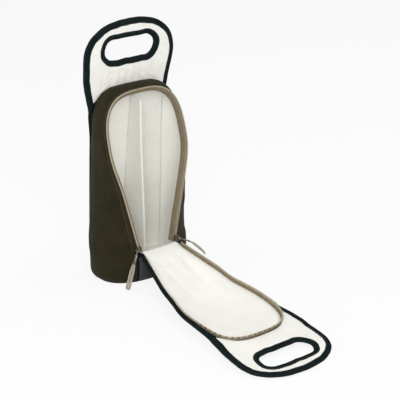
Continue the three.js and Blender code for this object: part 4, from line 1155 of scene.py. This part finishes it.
def on_patch(side):
    def place(across, along):
        z = between(PATCH_FOOT, PATCH_TOP, along)
        x = between(39.0, 33.5, smooth(38.0, 57.0, z))
        strip = Vector((x, oval_front(x) + between(-0.2, 2.0, smooth(36.0, 50.0, z)), z))
        setback = between(0.9, 6.2, smooth(36.0, 58.0, z))
        wall = Vector((PATCH_WALL_X, oval_front(PATCH_WALL_X) + setback - 0.6, z))
        point = strip.lerp(wall, across) + Vector((0.5, -0.9, 0)) * math.sin(math.pi * across)
        return Vector((point.x * side, point.y + foot_inset(z) * 0.9, point.z))
    return place


# Painted shade: the patches are cut from the black binding cloth to stand for the shadow between the pulls and the
# charcoal strip.
for word, side in (("right", 1), ("left", -1)):
    settle(thicken(lay(f"{word}_zip_end_shade_patch", 8, 24, on_patch(side), BINDING), BINDING_CLOTH), BODY)


# Zip sliders and their pulls

SLIDER_PLACE, SLIDER_HALF, SLIDER_REACH, WEDGE_DEPTH = 5.0, 5.5, 3.9, 5.2
PLATE_LOW, PLATE_HIGH = 1.5, 2.7
PIN, PIN_RADIUS, PIN_LENGTH = Vector((5.5, -1.7, 0)), 0.8, 5.4
EYE_RADIUS, EYE_TUBE = 1.55, 0.5
TAB_LENGTH, PULL_LENGTH, STRAND_APART, STRAND_HALF = 20.0, 67.0, 2.25, 2.05
LEFT_PULL_ANGLE, RIGHT_PULL_ANGLE, PULL_TWIST = math.radians(36), math.radians(75), math.radians(-40)
LEFT_DROOP, RIGHT_DROOP = 1.0, 12.0


def leg_frame(side):
    """Place of a slider on its leg of the zip: outwards, inwards and along the leg."""
    low, high = on_front(ZIP_FOOT, 0, 0), on_front(ZIP_LEG, ZIP_LEG_LENGTH, 0)
    along = (high - low).normalized()
    inward = (CLOSED_INWARD - along * CLOSED_INWARD.dot(along)).normalized()
    outward = inward.cross(along)
    axes = Matrix((outward, inward, along)).transposed().to_4x4()
    axes.translation = low + along * SLIDER_PLACE - outward * ZIP_SET_IN + inward * WEDGE_DEPTH
    return Matrix.Diagonal((MM * side, MM, MM, 1)) @ axes


def pull_frame(side, angle):
    """A pull hangs from its pin, turned outwards from the leg by an angle: face, axle, down."""
    down, axle = Vector((math.sin(angle), 0, -math.cos(angle))), Vector((0, 1, 0))
    axes = Matrix((axle.cross(down), axle, down)).transposed().to_4x4()
    axes.translation = PIN
    return leg_frame(side) @ axes


def edges_of(made):
    return list({edge for v in made["verts"] for edge in v.link_edges})


def chip(bm, low, high, rounding):
    """A block between two corners, with rounded edges."""
    middle, size = (Vector(low) + Vector(high)) / 2, Vector(high) - Vector(low)
    made = bmesh.ops.create_cube(bm, size=1.0, matrix=Matrix.Translation(middle) @ Matrix.Diagonal((*size, 1)))
    bevel(bm, edges_of(made), rounding, 3)


def cast(name, bm, matrix, material):
    bmesh.ops.transform(bm, matrix=matrix, verts=bm.verts[:])
    return finish_mesh(name, bm, material)


def make_slider(name, side):
    bm = bmesh.new()
    reach, half = SLIDER_REACH, SLIDER_HALF
    for face in (1, -1):
        low, high = sorted((face * PLATE_LOW, face * PLATE_HIGH))
        chip(bm, (low, -reach, -half), (high, reach, half * 0.55), 0.5)
        chip(bm, (low, -reach * 0.72, -half * 0.2), (high, reach * 0.72, half), 0.5)
    chip(bm, (-PLATE_HIGH + 0.2, -0.9, -2.5), (PLATE_HIGH - 0.2, 0.9, 2.5), 0.3)
    for ear in (-1, 1):
        low, high = sorted((PIN.y + ear * 1.8, PIN.y + ear * 3.0))
        chip(bm, (PLATE_LOW + 0.2, low, -1.8), (PIN.x + 1.7, high, 1.8), 0.5)
    bmesh.ops.create_cone(bm, cap_ends=True, segments=16, radius1=PIN_RADIUS, radius2=PIN_RADIUS, depth=PIN_LENGTH,
                          matrix=Matrix.Translation(PIN) @ Matrix.Rotation(math.pi / 2, 4, "X"))
    return cast(name, bm, leg_frame(side), METAL)


def make_tab(name, matrix):
    """A metal tab with an eye round the pull's axle."""
    bm = bmesh.new()
    made = bmesh.ops.create_circle(bm, segments=10, radius=EYE_TUBE, matrix=Matrix.Translation((EYE_RADIUS, 0, 0)))
    bmesh.ops.spin(bm, geom=made["verts"] + edges_of(made), cent=(0, 0, 0), axis=(0, 1, 0), angle=2 * math.pi,
                   steps=24, use_merge=True)
    chip(bm, (-0.55, -1.35, 1.5), (0.55, 1.35, 7.6), 0.35)
    chip(bm, (-0.6, -3.0, 6.6), (0.6, 3.0, TAB_LENGTH - 0.4), 0.5)
    chip(bm, (-0.85, -2.0, 8.6), (0.85, 2.0, 15.0), 0.25)
    return cast(name, bm, matrix, METAL)


def pull_path():
    """The loop of tape: down one side, round the end and up again, as (axle, down)."""
    left = [Vector((-STRAND_APART, between(TAB_LENGTH, PULL_LENGTH - STRAND_APART, t))) for t in steps(20)]
    turn = [Vector((-STRAND_APART * math.cos(math.pi * t), PULL_LENGTH - STRAND_APART
                    + 0.6 * STRAND_APART * math.sin(math.pi * t))) for t in steps(12)]
    return Line(left + turn[1:-1] + [Vector((-p.x, p.y)) for p in reversed(left)])


def make_pull(name, matrix, droop):
    path = pull_path()

    def place(across, along):
        turn = across * 2 * math.pi
        spot = path.at(along) + path.outward(along) * STRAND_HALF * math.cos(turn)
        axle = spot.x * (1 - 0.3 * (1 - smooth(0.0, 9.0, spot.y - TAB_LENGTH)))
        share = max(spot.y - TAB_LENGTH, 0.0) / (PULL_LENGTH - TAB_LENGTH)
        lean, flat = PULL_TWIST * smooth(0.0, 0.45, share), 0.75 * math.sin(turn)
        face = flat * math.cos(lean) + axle * math.sin(lean) + droop * share**1.6
        return matrix @ Vector((face, axle * math.cos(lean) - flat * math.sin(lean), spot.y)) / MM
    return lay(name, 12, 80, place, PULL_TAPE,
               lambda across, along: smooth(0.3, 1.0, math.sin(2 * math.pi * across)), True)


def make_wrap(name, matrix):
    """The whipping that holds the loop of tape to the tab."""
    bm = bmesh.new()
    for i in range(5):
        start = TAB_LENGTH - 1.2 + i * 0.95
        chip(bm, (-1.25, -3.35, start), (1.25, 3.35, start + 1.0), 0.45)
    return cast(name, bm, matrix, PULL_WRAP)


for word, side, angle, droop in (("right", 1, RIGHT_PULL_ANGLE, RIGHT_DROOP),
                                 ("left", -1, LEFT_PULL_ANGLE, LEFT_DROOP)):
    hang, slider, pull = pull_frame(side, angle), f"{word}_zip_slider", f"{word}_zip_pull"
    settle(make_slider(f"{word}_slider_casting", side), slider, f"{word}_slider")
    settle(make_tab(f"{word}_pull_tab_casting", hang), pull, f"{word}_pull_tab")
    settle(make_pull(f"{word}_pull_loop", hang, droop), pull, f"{word}_pull_tape")
    settle(make_wrap(f"{word}_pull_wrap", hang), pull)


# Stitching

STITCH_PITCH, STITCH, TACK_PITCH, TACK, THREAD_BEVEL = 3.4, (2.5, 0.6, 0.5), 10.0, (4.4, 1.8, 0.8), 0.16
SEAM_REACH, HOLE_SEAM_REACH, SEAM_PROUD = -6.9, -5.7, 1.42
ZIP_SEAM_REACH, ZIP_SEAM_DEPTH, TACK_REACH, TACK_DEPTH = -4.6, -1.05, 0.35, 4.7
BACK_RIM_START, FLAP_RIM_START = 338.0, 292.0
BAND_HALF, BAND_STITCH, BAND_CLOTH = 5.5, 3.9, 0.7


def stitch_row(name, spots, material, body, size=STITCH):
    """A row of threads; each spot is a place, the way along the seam and the way out of the cloth."""
    bm = bmesh.new()
    for place, along, out in spots:
        block(bm, place, along * size[0], out.cross(along) * size[1], out * size[2])
    bevel(bm, bm.edges[:], THREAD_BEVEL * MM, 1)
    settle(finish_mesh(name, bm, material), body)


def square_to(along, out):
    return (out - along * out.dot(along)).normalized()


def seam_spots(surface, line, reach, depth, face, pitch=STITCH_PITCH, stretch=0.3):
    """Threads along a line on a panel, on its face of greater (1) or lesser (-1) depth or on its edge (0)."""
    count, spots = int(line.length / pitch), []
    for i in range(count):
        share = (i + 0.5) / count
        side = line.outward(share)
        first, last = (line.at(share + way / count * stretch) for way in (-1, 1))
        low, high = (surface(*(end + side * reach), depth) for end in (first, last))
        along = (high - low).normalized()
        if face:
            out = square_to(along, (surface(*(first + side * reach), depth + face) - low).normalized())
        else:
            out = (surface(*(first + side * (reach + 1)), depth) - low).normalized()
        spots.append(((low + high) / 2, along, out))
    return spots


def wall_seam_spots(across):
    """Stitches along the zip's edge of the wall cloth, from just above the notch on one side to the other."""
    place = on_wall(0.0)
    rows = range(WALL_FOOT_STEPS + 1, WALL_ROWS - WALL_FOOT_STEPS)
    line = Line([place(across, i / WALL_ROWS) for i in rows])
    count, spots = int(line.length / STITCH_PITCH), []
    for i in range(count):
        share = (i + 0.5) / count
        low, high = line.at(share - 0.3 / count), line.at(share + 0.3 / count)
        along = (high - low).normalized()
        out = wall_normal(across, between(rows[0], rows[-1], share) / WALL_ROWS)
        spots.append(((low + high) / 2, along, square_to(along, out)))
    return spots


BACK_RIM, FLAP_RIM = (Line(mirrored(above(edge, start)))
                      for edge, start in ((BACK_EDGE, BACK_RIM_START), (FLAP_EDGE, FLAP_RIM_START)))
for word, surface, rim, hole, low, high, body in (
        ("back", on_grip, BACK_RIM, BACK_HOLE, -GRIP_STACK, OUTER, BODY),
        ("flap", on_flap, FLAP_RIM, FLAP_HOLE, -WALL, -GRIP_SINK, FLAP)):
    for side, depth, face in (("inner", low - SEAM_PROUD, -1), ("outer", high + SEAM_PROUD, 1)):
        for seam, line, reach in (("rim", rim, SEAM_REACH), ("hole", hole, HOLE_SEAM_REACH)):
            spots = seam_spots(surface, line, reach, depth, face)
            stitch_row(f"{word}_{seam}_{side}_stitches", spots, THREAD_DARK, body)
stitch_row("wall_zip_stitches", wall_seam_spots(1 / WALL_COLUMNS), THREAD_OLIVE, BODY)
stitch_row("flap_zip_stitches", seam_spots(on_flap, FLAP_ZIP, ZIP_SEAM_REACH, ZIP_SEAM_DEPTH, 1), THREAD_TAN, FLAP)
tack_spots = seam_spots(on_flap, zip_line(TACK_START), TACK_REACH, TACK_DEPTH, 0, TACK_PITCH, 0.25)
stitch_row("dome_tacks", tack_spots, THREAD_BROWN, FLAP, TACK)


# Bands sewn over the seams between each grip's cloth and the panel below it

def seam_band(word, surface, height, half, depth, face, material, thread, body):
    def place(across, along):
        line = height + between(-BAND_HALF, BAND_HALF, along)
        return surface(between(-half, half, across), line, depth)
    sheet(lay(f"{word}_seam_band", 40, 6, place, material, even_wear(0.25)), BAND_CLOTH, body, [])
    line = Line(((-half, height), (half, height)))
    for side, reach in (("upper", -BAND_STITCH), ("lower", BAND_STITCH)):
        stitch_row(f"{word}_band_{side}_stitches", seam_spots(surface, line, reach, depth + face * 0.45, face), thread,
                   body)


seam_band("back", on_grip, GRIP_START, BACK_SEAM_HALF_WIDTH, OUTER + 0.5, 1, OLIVE, THREAD_OLIVE, BODY)
seam_band("flap", on_flap, FLAP_GRIP_START, half_width(FLAP_EDGE, FLAP_GRIP_START) - 3.0, -WALL - 0.7, -1, CHARCOAL,
          THREAD_GREY, FLAP)


# Finish of the base board, which stays as the frame has it

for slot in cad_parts["base_board"].material_slots:
    slot.material = BOARD


# Stage and light

FLOOR_SIZE, FLOOR_GLOW, WORLD_STRENGTH = 6.0, 0.86, 0.4


def make_floor():
    bm = bmesh.new()
    bmesh.ops.create_grid(bm, x_segments=1, y_segments=1, size=FLOOR_SIZE)
    f = Finish("floor_paint")
    f.fill(Base_Color=tint((238, 238, 238)), Roughness=0.9)
    glow, paths = f.node("ShaderNodeEmission", Strength=1.0), f.node("ShaderNodeLightPath")
    seen = f.math("MAXIMUM", (paths, "Is Camera Ray"),
                  f.math("MAXIMUM", (paths, "Is Glossy Ray"), (paths, "Is Transmission Ray")))
    blend = f.node("ShaderNodeMixShader")
    for socket, source in enumerate((f.math("MULTIPLY", seen, FLOOR_GLOW), (f.shader, "BSDF"), (glow, "Emission"))):
        f.feed(source, blend, socket)
    f.feed((blend, "Shader"), f.tree.nodes["Material Output"], "Surface")
    finish_mesh("floor", bm, f.material)


def make_world():
    scene.world = bpy.data.worlds.new("studio")
    scene.world.use_nodes = True
    ground = scene.world.node_tree.nodes["Background"]
    ground.inputs["Color"].default_value = (1.0, 1.0, 1.0, 1.0)
    ground.inputs["Strength"].default_value = WORLD_STRENGTH


def soft_box(name, place, size, watts):
    data = bpy.data.lights.new(name, "AREA")
    data.shape, data.size, data.energy = "SQUARE", size, watts
    lamp = bpy.data.objects.new(name, data)
    scene.collection.objects.link(lamp)
    lamp.location = place
    lamp.rotation_euler = (TARGET - Vector(place)).to_track_quat("-Z", "Y").to_euler()


make_floor()
make_world()
soft_box("key", (-1.1, -1.7, 1.45), 1.2, 28)
soft_box("side", (-2.2, 0.9, 1.0), 1.2, 17)
soft_box("top", (0.5, -0.2, 2.4), 1.6, 13)
soft_box("fill", (2.1, -0.7, 1.0), 1.4, 11)
